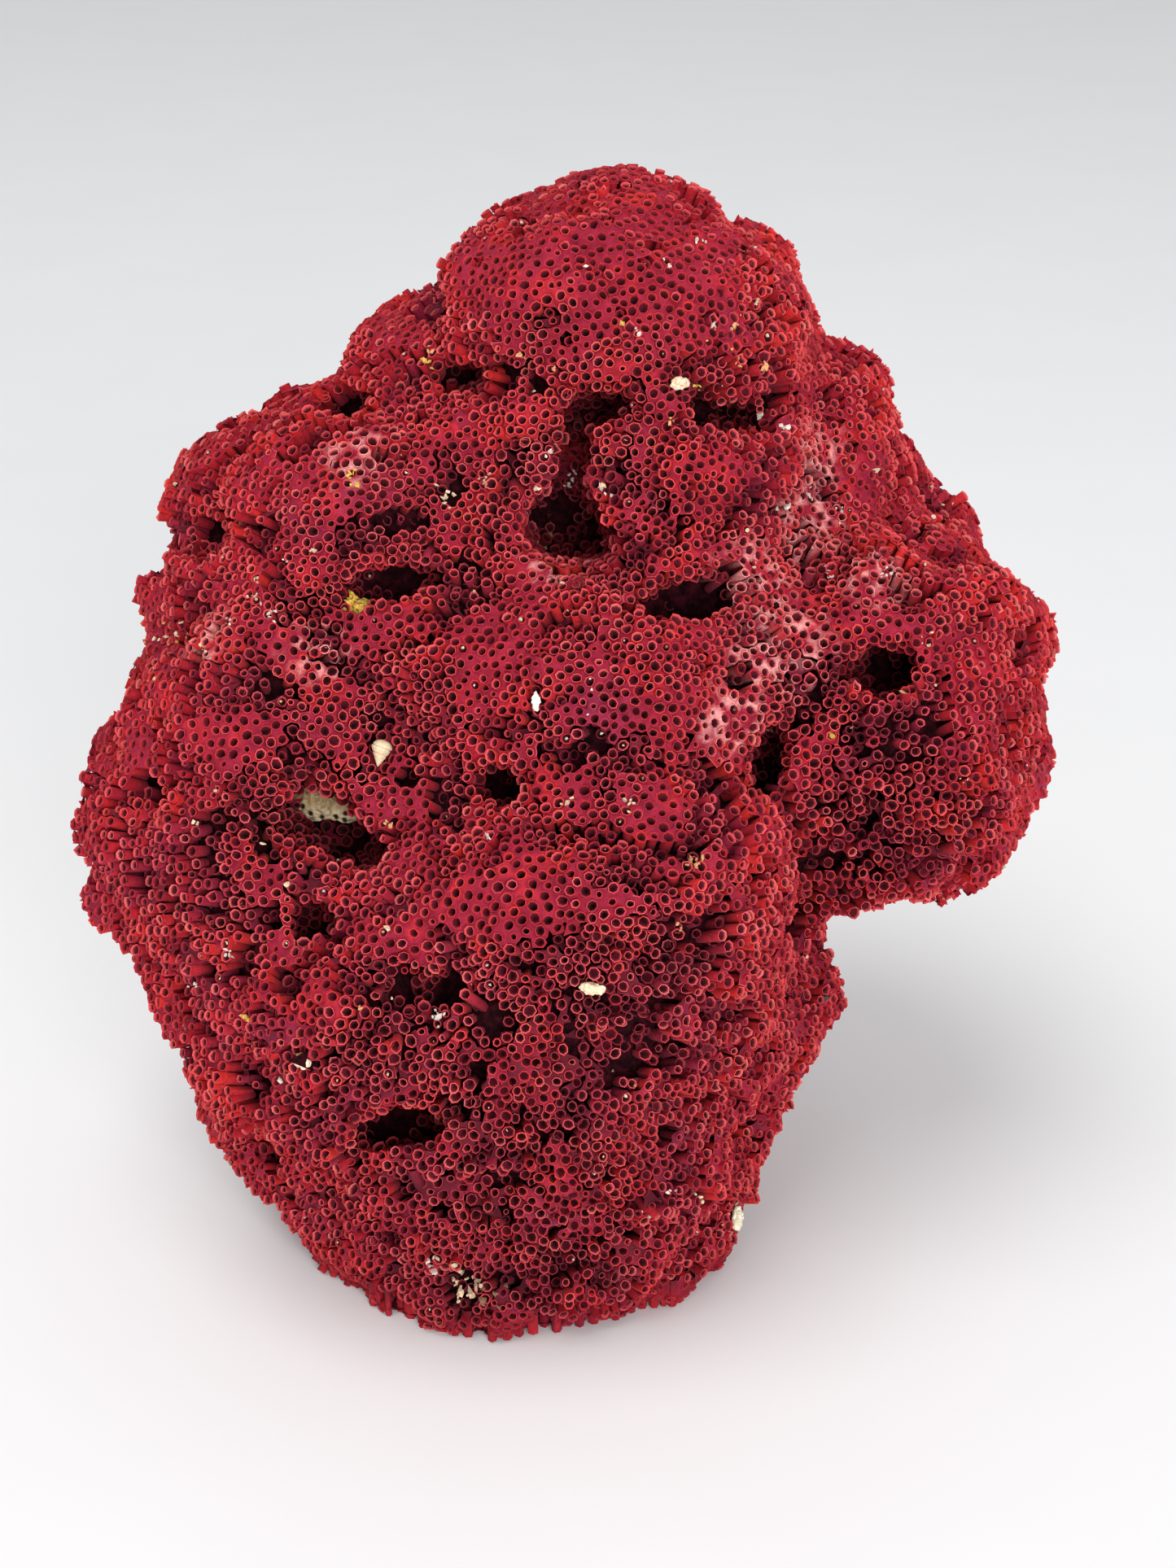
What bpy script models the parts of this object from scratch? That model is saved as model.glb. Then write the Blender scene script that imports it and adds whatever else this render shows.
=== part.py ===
# Organ-pipe coral colony: a red, lobed mass with ledges and caves, cut flat where it grew,
# with a few small things lodged in it: a snail shell, a pale crust and broken shell chips.
# Metres, +Z up, front towards -Y. The origin is under the middle of its box, on the flat cut.

import math

import bmesh
import bpy
from mathutils import Matrix, Vector, noise

MM = 0.001

# Driving dimensions, in millimetres. Each lobe is an ellipsoid: centre and radii.
# Heights are measured from the flat cut.
LOBES = {
    "foot": ((-14, -4, 24), (49, 45, 49)),
    "belly": ((-20, -10, 68), (62, 52, 47)),
    "left_cheek": ((-57, 2, 92), (40, 44, 42)),
    "left_shoulder": ((-46, 20, 133), (38, 38, 38)),
    "crown": ((6, 34, 167), (39.5, 38, 41)),
    "crown_right": ((26, 42, 142), (38, 36, 38)),
    "right_lobe": ((52, 14, 111), (38, 40, 40)),
    "right_back": ((39, 38, 118), (42, 36, 42)),
    "back": ((-8, 44, 84), (54, 38, 60)),
    "heart": ((2, 8, 104), (50, 46, 54)),
}

# Small swellings that make the outline knobbly, on the outside of the lobes.
KNOBS = {
    "brow": ((2, 6, 144), (28, 24, 24)),
    "crown_left": ((-26, 30, 161), (24, 26, 26)),
    "left_edge": ((-76, 3, 82), (20, 28, 25)),
    "right_edge": ((70, 14, 97), (18, 26, 22)),
    "middle": ((4, -32, 92), (32, 26, 28)),
    "toe": ((-8, -26, 34), (34, 24, 30)),
    "left_toe": ((-51, -6, 38), (27, 30, 32)),
    "right_hip": ((22, 4, 53), (28, 30, 33)),
}

# Domes that stand out of the front: place as for a cave, then width, height and how far out.
DOMES = {
    "right_dome": (21, 59, 38, 32, 6),
    "cleft_left_dome": (-18, 61, 26, 28, 4.5),
    "shoulder_dome": (-42, 60, 42, 22, 4.5),
    "centre_dome": (9, 20, 34, 28, 5),
    "belly_dome": (-28, 24, 46, 28, 5),
    "left_dome": (-64, 18, 34, 30, 4),
    "low_dome": (-12, -28, 50, 38, 5),
    "right_low_dome": (22, -16, 28, 32, 4),
    "toe_dome": (-28, -80, 34, 22, 4.5),
    "toe_right_dome": (10, -76, 30, 30, 4),
    "left_low_dome": (-48, -44, 36, 24, 4.5),
    "ear_dome": (66, 2, 34, 30, 4),
    "ear_top_dome": (64, 36, 34, 22, 4),
    "right_slope_dome": (48, 66, 30, 34, 5),
    "crown_dome": (-4, 96, 44, 28, 4),
    "crown_right_dome": (31, 84, 24, 18, 1.5),
}

# Caves: where the eye's line meets the surface, as across and up on a plane through AIM that
# faces the eye, then the mouth's width and height, its depth, and its turn in degrees.
AIM = (0, 0, 100)
EYE_DISTANCE = 460
FRONT = (0, 27)  # the eye's azimuth and elevation, in degrees
CAVES = {
    FRONT: {
        "cleft": (-5, 51, 14, 13, 42, 0),
        "cleft_floor": (-3, 46, 18, 7, 34, -4),
        "cleft_neck": (-3.2, 61, 5.0, 25, 32, -3),
        "cleft_top": (2.2, 73.2, 15, 6.5, 32, 8),
        "crown_gap_right": (26.4, 71.2, 16, 6.5, 28, -10),
        "crown_gap_left": (-23.5, 78.5, 10, 7, 26, 0),
        "shoulder_cave": (-47, 73, 13, 6, 14, 10),
        "left_side_cave": (-74, 49, 11, 13, 14, 20),
        "left_middle_gap": (-38, 39, 17, 7, 24, 6),
        "round_hole": (57, 22, 12.5, 10.5, 30, 0),
        "tall_hole": (35, 5, 7.5, 15, 30, 0),
        "centre_hole": (-16.5, -0.5, 10, 8, 28, -15),
        "crust_cave": (-48.5, -8.8, 22, 10, 26, -38),
        "left_slot": (-60, -8, 12, 5, 10, -10),
        "left_edge_cave": (-85, -2, 10, 9, 10, 0),
        "cheek_hole": (-53, -27, 7, 11, 20, 10),
        "lower_cave": (-37, -66, 18, 8, 28, 8),
        "lower_left_cave": (-62, -71, 11, 5.5, 18, -6),
        "right_recess": (19, 35, 20, 8, 15, 6),
        "ledge_under_low": (-30, -40, 16, 6, 14, 0),
        "lower_right_recess": (7.5, -56, 9, 6, 9, 20),
        "lower_right_nick": (22, -43.5, 7, 8, 9, 0),
        "lower_nick": (-24, -57, 6, 4, 9, 0),
        "upper_right_slot": (67, 44, 16, 5, 8, -28),
        "toe_slot": (-7, -70, 12, 4, 8, 4),
        "toe_pit": (5, -78, 6, 5, 8, 0),
        "toe_left_pit": (-26, -95, 9, 5, 8, 0),
        "under_ear": (40, -27, 8, 12, 12, 20),
    },
    (110, 20): {
        "left_back_cave": (10, 20, 14, 9, 16, 20),
        "left_back_hole": (-28, -14, 9, 8, 18, 0),
        "left_back_slot": (26, -30, 16, 6, 12, -12),
    },
    (185, 22): {
        "back_cleft": (4, 34, 12, 20, 26, 15),
        "back_hole": (-38, 8, 10, 9, 22, 0),
        "back_cave": (34, -8, 17, 9, 16, -10),
        "back_low_cave": (-8, -44, 15, 8, 14, 8),
        "back_high_hole": (-12, 68, 9, 7, 14, 0),
    },
    (265, 20): {
        "right_back_cave": (-14, 12, 15, 9, 16, -15),
        "right_back_hole": (26, 30, 9, 8, 18, 0),
        "right_back_slot": (12, -40, 14, 6, 12, 10),
    },
}

# Relief of the grown surface: height and spacing of each kind of form.
LOBULE = (2.6, 24)
LUMP = (1.8, 9)
TERRACE = (3.2, 12)
TERRACE_EDGE = 0.10  # how soft a ledge's edge is, in noise units
CAVE_RAGS = ((2.0, 6.5), (1.2, 3.0))  # height and spacing of the raggedness of the caves' walls

CAVE_MIDDLE = 0.30  # how far down a cave its widest place is, as a share of its depth

FUSE_GRAIN = 2.6  # voxel that melts the lobes into one skin
CAVE_GRAIN = 1.2  # voxel that melts the caves into one cutter
CUT_GRAIN = 2.0  # voxel that melts the caves into it
FACES_KEPT = 8600
GAP = 0.3  # between the colony and a thing lodged in it

# Things lodged in the surface: place as for a cave, then radii (across, up, out) and how deep
# the middle sits under the surface.
CHIPS = {
    "shell_chip_1": (18, 77.5, (1.9, 1.2, 1.0), 0.0),
    "shell_chip_2": (1, -39.5, (2.4, 1.2, 1.0), 0.0),
    "shell_chip_3": (-55, -54, (1.7, 1.2, 0.9), 0.0),
    "shell_chip_4": (29, -84, (1.3, 2.6, 1.1), 0.1),
    "shell_chip_5": (-10, 16, (0.8, 1.8, 0.7), 0.0),
}
YELLOW_CRUMB = (-44, 35, (2.9, 2.3, 1.9), 0.5)
CRUST = (-50.6, -3.8, (7.8, 4.0, 5.0), 1.0)
SNAIL = (-40, 6, 1.9, 5.0)  # place, then greatest radius and length
# The shell's outline from its crown to its point: share of the radius, share of the length.
SNAIL_OUTLINE = (
    (0, 0.50), (0.55, 0.47), (0.92, 0.34), (1, 0.16), (0.86, 0), (0.62, -0.2), (0.3, -0.4), (0, -0.5),
)

CORAL_RED = (0.42, 0.012, 0.02)
CRUST_OLIVE = (0.32, 0.26, 0.17)
SNAIL_BUFF = (0.62, 0.47, 0.28)
CHIP_CREAM = (0.80, 0.66, 0.46)
CRUMB_YELLOW = (0.58, 0.38, 0.07)


def clear_scene():
    for obj in list(bpy.data.objects):
        bpy.data.objects.remove(obj, do_unlink=True)


def new_collection(name):
    made = bpy.data.collections.new(name)
    bpy.context.scene.collection.children.link(made)
    return made


def principled(name, colour, roughness):
    material = bpy.data.materials.new(name)
    material.use_nodes = True
    shader = material.node_tree.nodes["Principled BSDF"]
    shader.inputs["Base Color"].default_value = (*colour, 1)
    shader.inputs["Roughness"].default_value = roughness
    shader.inputs["Metallic"].default_value = 0
    return material


def object_from(mesh, name, collection, material=None):
    obj = bpy.data.objects.new(name, mesh)
    collection.objects.link(obj)
    if material:
        mesh.materials.clear()
        mesh.materials.append(material)
    return obj


def baked(obj):
    """The object's mesh as its modifiers leave it, in place of the object's own."""
    graph = bpy.context.evaluated_depsgraph_get()
    mesh = bpy.data.meshes.new_from_object(obj.evaluated_get(graph))
    obj.modifiers.clear()
    obj.data = mesh
    return obj


def add_ellipsoids(mesh, forms, detail):
    """Adds separate ellipsoids to a mesh. Each form is a matrix that shapes a unit sphere."""
    bm = bmesh.new()
    bm.from_mesh(mesh)
    for form in forms:
        bmesh.ops.create_icosphere(bm, subdivisions=detail, radius=1, matrix=form)
    bm.to_mesh(mesh)
    bm.free()
    return mesh


def lobe_form(centre, radii):
    return Matrix.Translation(Vector(centre) * MM) @ Matrix.Diagonal((*(Vector(radii) * MM), 1))


def melt(obj, grain, smooth_steps):
    """Fuses overlapping bodies into one skin and softens the creases between them."""
    remesh = obj.modifiers.new("melt", "REMESH")
    remesh.mode = "VOXEL"
    remesh.voxel_size = grain * MM
    soften = obj.modifiers.new("soften", "SMOOTH")
    soften.factor = 0.5
    soften.iterations = smooth_steps
    return baked(obj)


def ramp(value, low, high):
    share = min(max((value - low) / (high - low), 0), 1)
    return share * share * (3 - 2 * share)


def relief(place):
    """How far the grown surface stands out at a place, in millimetres."""
    height, spacing = LOBULE
    nearest = noise.voronoi(place / (spacing * MM))[0][0]
    out = height * (0.55 - min(nearest, 1.1) ** 2)
    height, spacing = LUMP
    out += height * noise.noise(place / (spacing * MM) + Vector((3, 7, 1)))
    height, spacing = TERRACE
    level = noise.noise(place / (spacing * MM) + Vector((11, 2, 5)))
    out += height * (ramp(level, -TERRACE_EDGE, TERRACE_EDGE) - 0.5)
    level = noise.noise(place / (0.55 * spacing * MM) + Vector((1, 20, 9)))
    out += 0.6 * height * (ramp(level, -TERRACE_EDGE, TERRACE_EDGE) - 0.5)
    return out


def raise_relief(obj):
    mesh = obj.data
    normals = [vertex.normal.copy() for vertex in mesh.vertices]
    for vertex, normal in zip(mesh.vertices, normals):
        vertex.co += normal * (relief(vertex.co) * MM)
    mesh.update()


def eye_and_axes(view):
    """The eye's place, and the directions right and up as it sees them."""
    azimuth, elevation = (math.radians(angle) for angle in view)
    back = Vector(
        (
            math.sin(azimuth) * math.cos(elevation),
            -math.cos(azimuth) * math.cos(elevation),
            math.sin(elevation),
        )
    )
    right = Vector((math.cos(azimuth), math.sin(azimuth), 0))
    eye = Vector(AIM) * MM + back * (EYE_DISTANCE * MM)
    return eye, right, back.cross(right)


def seen_place(obj, view, across, up):
    """Where the eye's line through (across, up) meets the object, the normal there, the
    direction right and the line's own direction."""
    eye, right, upward = eye_and_axes(view)
    target = Vector(AIM) * MM + (right * across + upward * up) * MM
    line = (target - eye).normalized()
    hit, point, normal, _ = obj.ray_cast(eye, line)
    if not hit:
        raise ValueError(f"no surface at {across}, {up} from {view}")
    return point, normal, right, line


def cave_form(obj, view, across, up, width, height, depth, turn):
    """A hollow ellipsoid that runs from its mouth straight away from the eye."""
    point, _, right, line = seen_place(obj, view, across, up)
    side = (right - line * right.dot(line)).normalized()
    rise = side.cross(line)
    axes = Matrix((side, rise, line)).transposed().to_4x4()
    middle = point + line * (CAVE_MIDDLE * depth * MM)
    spin = Matrix.Rotation(math.radians(turn), 4, "Z")
    reach = 1 - CAVE_MIDDLE
    # An ellipsoid is narrower at its mouth than across its middle.
    mouth_share = math.sqrt(1 - CAVE_MIDDLE**2 / reach**2)
    size = Vector((width / 2 / mouth_share, height / 2 / mouth_share, reach * depth)) * MM
    return Matrix.Translation(middle) @ axes @ spin @ Matrix.Diagonal((*size, 1))


def dome_form(obj, across, up, width, height, out):
    """A low dome on the front, sunk so that it stands out by the given amount."""
    point, normal, right, line = seen_place(obj, FRONT, across, up)
    axis = (normal - line).normalized()
    side = (right - axis * right.dot(axis)).normalized()
    axes = Matrix((side, axis.cross(side), axis)).transposed().to_4x4()
    thick = 0.3 * (width + height)
    middle = point - axis * ((thick - out) * MM)
    size = Vector((0.62 * width, 0.62 * height, thick)) * MM
    return Matrix.Translation(middle) @ axes @ Matrix.Diagonal((*size, 1))


def roughen(mesh, height, spacing, seed):
    offset = Vector((seed, 2 * seed, 5))
    normals = [vertex.normal.copy() for vertex in mesh.vertices]
    for vertex, normal in zip(mesh.vertices, normals):
        wave = noise.noise(vertex.co / (spacing * MM) + offset)
        vertex.co += normal * (height * MM * wave)
    mesh.update()


def subtract(obj, cutter, name):
    cut = obj.modifiers.new(name, "BOOLEAN")
    cut.operation = "DIFFERENCE"
    cut.solver = "EXACT"
    cut.object = cutter
    return baked(obj)


def make_cutter(mesh, name, collection):
    cutter = object_from(mesh, name, collection)
    cutter.hide_render = True
    cutter.display_type = "WIRE"
    return cutter


def make_colony(parts, cutters, material):
    forms = [lobe_form(*lobe) for lobe in (LOBES | KNOBS).values()]
    lobe_mesh = add_ellipsoids(bpy.data.meshes.new("colony"), forms, 4)
    colony = object_from(lobe_mesh, "coral_colony", parts, material)
    melt(colony, FUSE_GRAIN, 6)
    domes = [dome_form(colony, *dome) for dome in DOMES.values()]
    add_ellipsoids(colony.data, domes, 4)
    melt(colony, FUSE_GRAIN, 3)
    raise_relief(colony)

    hollows = []
    for view, side in CAVES.items():
        hollows += [cave_form(colony, view, *cave) for cave in side.values()]
    cave_mesh = add_ellipsoids(bpy.data.meshes.new("caves"), hollows, 4)
    for seed, (height, spacing) in enumerate(CAVE_RAGS):
        roughen(cave_mesh, height, spacing, 4 + seed)
    caves = melt(make_cutter(cave_mesh, "cave_cutter", cutters), CAVE_GRAIN, 1)
    subtract(colony, caves, "caves")
    melt(colony, CUT_GRAIN, 1)

    thin = colony.modifiers.new("thin", "DECIMATE")
    thin.ratio = FACES_KEPT / (2 * len(colony.data.polygons))
    thin.use_collapse_triangulate = True
    baked(colony)

    ground = bmesh.new()
    bmesh.ops.create_cube(ground, size=0.4, matrix=Matrix.Translation((0, 0, -0.2)))
    ground_mesh = bpy.data.meshes.new("ground")
    ground.to_mesh(ground_mesh)
    ground.free()
    subtract(colony, make_cutter(ground_mesh, "ground_cutter", cutters), "flat_cut")
    colony.data.materials.clear()
    colony.data.materials.append(material)
    return colony


def lodge(colony, piece, cutters):
    """Cuts a pocket for a piece from the colony, with GAP all round."""
    mesh = piece.data.copy()
    mesh.transform(piece.matrix_world)
    normals = [vertex.normal.copy() for vertex in mesh.vertices]
    for vertex, normal in zip(mesh.vertices, normals):
        vertex.co += normal * (GAP * MM)
    cutter = make_cutter(mesh, piece.name + "_pocket", cutters)
    return subtract(colony, cutter, piece.name)


def seated_form(colony, place, sink):
    """A frame on the colony's front: X across, Y up the surface, Z out of it."""
    across, up = place
    point, normal, right, line = seen_place(colony, FRONT, across, up)
    out = (normal - line).normalized()
    side = (right - out * right.dot(out)).normalized()
    axes = Matrix((side, out.cross(side), out)).transposed().to_4x4()
    return Matrix.Translation(point - out * (sink * MM)) @ axes


def make_lump(colony, name, lump, material, parts, cutters, seed):
    across, up, radii, sink = lump
    form = Matrix.Diagonal((*(Vector(radii) * MM), 1))
    mesh = add_ellipsoids(bpy.data.meshes.new(name), [form], 2)
    roughen(mesh, 0.35 * min(radii), 0.9 * max(radii), seed)
    piece = object_from(mesh, name, parts, material)
    piece.matrix_world = seated_form(colony, (across, up), sink)
    bpy.context.view_layer.update()
    lodge(colony, piece, cutters)
    return piece


def make_snail(colony, material, parts, cutters):
    """A small turret shell, point down, turned from its outline."""
    across, up, radius, length = SNAIL
    mesh = bpy.data.meshes.new("snail_shell")
    points = [(r * radius * MM, 0, z * length * MM) for r, z in SNAIL_OUTLINE]
    mesh.from_pydata(points, [(i, i + 1) for i in range(len(points) - 1)], [])
    piece = object_from(mesh, "snail_shell", parts, material)
    screw = piece.modifiers.new("turn", "SCREW")
    screw.steps = screw.render_steps = 16
    screw.use_merge_vertices = True
    screw.merge_threshold = 0.00005
    baked(piece)
    piece.data.materials.clear()
    piece.data.materials.append(material)
    seat = seated_form(colony, (across, up), 0.3)
    stand = Matrix.Rotation(math.radians(-80), 4, "X") @ Matrix.Rotation(math.radians(12), 4, "Y")
    piece.matrix_world = seat @ stand
    bpy.context.view_layer.update()
    lodge(colony, piece, cutters)
    return piece


def shade(obj):
    obj.data.shade_smooth()
    obj.data.set_sharp_from_angle(angle=math.radians(50))


def main():
    clear_scene()
    parts = new_collection("organ_pipe_coral")
    cutters = new_collection("cutters")
    colony = make_colony(parts, cutters, principled("coral_red", CORAL_RED, 0.8))

    pieces = [make_snail(colony, principled("snail_buff", SNAIL_BUFF, 0.45), parts, cutters)]
    crust = principled("crust_olive", CRUST_OLIVE, 0.9)
    pieces.append(make_lump(colony, "crust_lump", CRUST, crust, parts, cutters, 3))
    yellow = principled("crumb_yellow", CRUMB_YELLOW, 0.9)
    pieces.append(make_lump(colony, "yellow_crumb", YELLOW_CRUMB, yellow, parts, cutters, 8))
    cream = principled("chip_cream", CHIP_CREAM, 0.7)
    for seed, (name, chip) in enumerate(CHIPS.items()):
        pieces.append(make_lump(colony, name, chip, cream, parts, cutters, 10 + seed))

    # The middle of the box goes over the origin.
    xs = [vertex.co.x for vertex in colony.data.vertices]
    ys = [vertex.co.y for vertex in colony.data.vertices]
    shift = Vector((-(min(xs) + max(xs)) / 2, -(min(ys) + max(ys)) / 2, 0))
    for obj in [colony, *pieces]:
        obj.matrix_world = Matrix.Translation(shift) @ obj.matrix_world
        shade(obj)


main()
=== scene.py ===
# Dresses the coral colony: every tube with its mouth, the thin platforms that join the tubes,
# the dark sheet of painted shade inside, the flat cut, and the small things lodged in it. Metres,
# +Z up.
import math

import bmesh
import bpy
import numpy as np
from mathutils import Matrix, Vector, kdtree, noise
from mathutils.bvhtree import BVHTree


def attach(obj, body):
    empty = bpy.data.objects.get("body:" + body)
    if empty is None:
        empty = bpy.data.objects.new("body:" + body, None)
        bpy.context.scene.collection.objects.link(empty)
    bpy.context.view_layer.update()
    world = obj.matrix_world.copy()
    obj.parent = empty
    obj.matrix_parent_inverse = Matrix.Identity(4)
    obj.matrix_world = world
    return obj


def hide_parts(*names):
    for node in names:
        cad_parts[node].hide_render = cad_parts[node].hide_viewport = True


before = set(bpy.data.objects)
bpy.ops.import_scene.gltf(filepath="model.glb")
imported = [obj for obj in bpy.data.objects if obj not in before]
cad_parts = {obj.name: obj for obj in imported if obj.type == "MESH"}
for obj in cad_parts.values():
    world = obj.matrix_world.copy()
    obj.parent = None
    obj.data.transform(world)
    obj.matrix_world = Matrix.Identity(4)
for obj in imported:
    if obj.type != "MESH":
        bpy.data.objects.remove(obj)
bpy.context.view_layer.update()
mm = 0.001
chance = np.random.default_rng(11)

# The photograph's view: the frame is 1445 by 1927, and the long side takes the lens.
view = {
    "aim": (0.0041, -0.0097, 0.100),
    "elevation": 27.0,
    "distance": 0.46,
    "lens": 54.6,
    "sensor": 36.0,
    "frame": (1445, 1927),
}
eyeTilt = math.radians(view["elevation"])
eyeForward = Vector((0, math.cos(eyeTilt), -math.sin(eyeTilt)))
eyeRight = Vector((1, 0, 0))
eyeUp = eyeRight.cross(eyeForward)
eyePlace = Vector(view["aim"]) - eyeForward * view["distance"]


# Small mesh tools


def meshArrays(mesh):
    mesh.calc_loop_triangles()
    points = np.empty(len(mesh.vertices) * 3)
    mesh.vertices.foreach_get("co", points)
    triangles = np.empty(len(mesh.loop_triangles) * 3, np.int32)
    mesh.loop_triangles.foreach_get("vertices", triangles)
    return points.reshape(-1, 3), triangles.reshape(-1, 3)


def addObject(name, data):
    made = bpy.data.objects.new(name, data)
    bpy.context.scene.collection.objects.link(made)
    return made


def weldedCopy(mesh):
    # a solid's facets, joined at their corners
    bm = bmesh.new()
    bm.from_mesh(mesh)
    bmesh.ops.remove_doubles(bm, verts=bm.verts, dist=1e-6)
    return bm


def meshOf(bm, name):
    mesh = bpy.data.meshes.new(name)
    bm.to_mesh(mesh)
    bm.free()
    return mesh


def meltedArrays(mesh, voxel):
    # one closed skin over a mesh, on an even grid
    welded = meshOf(weldedCopy(mesh), "welded")
    obj = addObject("welded", welded)
    remesh = obj.modifiers.new("melt", "REMESH")
    remesh.mode = "VOXEL"
    remesh.voxel_size = voxel
    graph = bpy.context.evaluated_depsgraph_get()
    melted = bpy.data.meshes.new_from_object(obj.evaluated_get(graph))
    arrays = meshArrays(melted)
    bpy.data.objects.remove(obj)
    bpy.data.meshes.remove(melted)
    bpy.data.meshes.remove(welded)
    return arrays


def unit(vectors):
    return vectors / np.maximum(np.linalg.norm(vectors, axis=-1, keepdims=True), 1e-12)


def sumsBy(groups, rows, count=0):
    # the rows of each group, added up
    return np.stack([np.bincount(groups, column, count) for column in rows.T], 1)


def edgesOf(triangles):
    edges = np.concatenate([triangles[:, [0, 1]], triangles[:, [1, 2]], triangles[:, [2, 0]]])
    return np.unique(np.sort(edges, axis=1), axis=0)


def relaxed(values, edges, rounds, share=0.5):
    # each value moves towards the mean of its neighbours
    count = np.bincount(edges.ravel(), minlength=len(values))[:, None]
    values = values.copy()
    for _ in range(rounds):
        mean = np.stack(
            [
                np.bincount(edges[:, 0], column[edges[:, 1]], len(values))
                + np.bincount(edges[:, 1], column[edges[:, 0]], len(values))
                for column in values.T
            ],
            1,
        )
        values += share * (mean / np.maximum(count, 1) - values)
    return values


def normalsOf(points, triangles):
    a, b, c = (points[triangles[:, k]] for k in range(3))
    faceNormals = np.cross(b - a, c - a)
    total = np.zeros_like(points)
    for k in range(3):
        for axis in range(3):
            total[:, axis] += np.bincount(triangles[:, k], faceNormals[:, axis], len(points))
    return unit(total)


def addColours(mesh, key, values):
    layer = mesh.attributes.new(key, "FLOAT_COLOR", "POINT")
    layer.data.foreach_set("color", np.asarray(values, np.float32).ravel())


def newMesh(name, points, triangles, attributes=None):
    mesh = bpy.data.meshes.new(name)
    mesh.vertices.add(len(points))
    mesh.vertices.foreach_set("co", np.asarray(points, np.float32).ravel())
    mesh.loops.add(len(triangles) * 3)
    mesh.loops.foreach_set("vertex_index", np.asarray(triangles, np.int32).ravel())
    mesh.polygons.add(len(triangles))
    mesh.polygons.foreach_set("loop_start", np.arange(0, len(triangles) * 3, 3, dtype=np.int32))
    mesh.update(calc_edges=True)
    for key, values in (attributes or {}).items():
        addColours(mesh, key, values)
    mesh.validate()
    return mesh


def addPiece(name, mesh, material, replaced=(), sharpAngle=60):
    piece = addObject(name, mesh)
    mesh.materials.clear()
    mesh.materials.append(material)
    mesh.shade_smooth()
    mesh.set_sharp_from_angle(angle=math.radians(sharpAngle))
    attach(piece, "root")
    if replaced:
        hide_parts(*replaced)


def noiseAt(points, scale, offset=(0, 0, 0)):
    # smooth noise, about -1 to 1, at points in metres; scale in millimetres
    spots = (points / (scale * mm) + np.array(offset)).tolist()
    return np.array([noise.noise(spot) for spot in spots]) * 1.7


def smoothStep(value, low, high):
    share = np.clip((value - low) / (high - low), 0, 1)
    return share * share * (3 - 2 * share)


# Shader tools


class Socket:
    # a socket that adds its own Math nodes when it is used in a sum
    def __init__(self, material, output):
        self.material, self.output = material, output

    def math(self, operation, *others, swapped=False):
        values = [self, *others]
        if swapped:
            values.reverse()
        return self.material.node("Math", {"operation": operation}, dict(enumerate(values)))

    def __add__(self, other):
        return self.math("ADD", other)

    def __sub__(self, other):
        return self.math("SUBTRACT", other)

    def __rsub__(self, other):
        return self.math("SUBTRACT", other, swapped=True)

    def __mul__(self, other):
        return self.math("MULTIPLY", other)

    __radd__, __rmul__ = __add__, __mul__

    def clamped(self):
        return self.material.node("Clamp", {}, {"Value": self})

    def smooth(self, low, high):
        inputs = {"Value": self, "From Min": low, "From Max": high}
        return self.material.node("MapRange", {"interpolation_type": "SMOOTHSTEP"}, inputs)


class Finish:
    # one material and the one way of adding nodes to it
    def __init__(self, name):
        self.material = bpy.data.materials.new(name)
        self.material.use_nodes = True
        self.tree = self.material.node_tree
        self.shader = self.tree.nodes["Principled BSDF"]
        self.place = self.node("TexCoord", {}, {}, "Object")

    def node(self, kind, settings, inputs, output=0):
        made = self.tree.nodes.new("ShaderNode" + kind)
        for key, value in settings.items():
            setattr(made, key, value)
        for key, value in inputs.items():
            self.feed(made.inputs[key], value)
        return Socket(self, made.outputs[output])

    def feed(self, socket, value):
        if isinstance(value, Socket):
            self.tree.links.new(value.output, socket)
        elif isinstance(value, tuple) and len(value) == 3 and len(socket.default_value) == 4:
            socket.default_value = (*value, 1)
        else:
            socket.default_value = value

    def set(self, **inputs):
        for key, value in inputs.items():
            self.feed(self.shader.inputs[key.replace("_", " ")], value)
        return self

    def noise(self, size, detail=2, rough=0.5):
        # size is the width of one grain in millimetres
        inputs = {"Vector": self.place, "Scale": 1 / (size * mm)}
        inputs.update({"Detail": detail, "Roughness": rough})
        return self.node("TexNoise", {}, inputs, "Fac")

    def cells(self, size):
        inputs = {"Vector": self.place, "Scale": 1 / (size * mm)}
        return self.node("TexVoronoi", {}, inputs, "Distance")

    def channels(self, attribute):
        colour = self.node("Attribute", {"attribute_name": attribute}, {}, "Color")
        parts = [self.node("SeparateColor", {}, {"Color": colour}, k) for k in range(3)]
        return [*parts, self.node("Attribute", {"attribute_name": attribute}, {}, "Alpha")]

    def mix(self, low, high, share, blend="MIX"):
        # 6 and 7 are the Mix node's colour sockets, and 2 is its colour output
        settings = {"data_type": "RGBA", "blend_type": blend}
        return self.node("Mix", settings, {0: share, 6: low, 7: high}, 2)

    def bump(self, height, depth, strength=1.0):
        # depth in millimetres between the height's 0 and 1
        inputs = {"Height": height, "Distance": depth * mm, "Strength": strength}
        self.set(Normal=self.node("Bump", {}, inputs))


# The coral's finish

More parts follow.
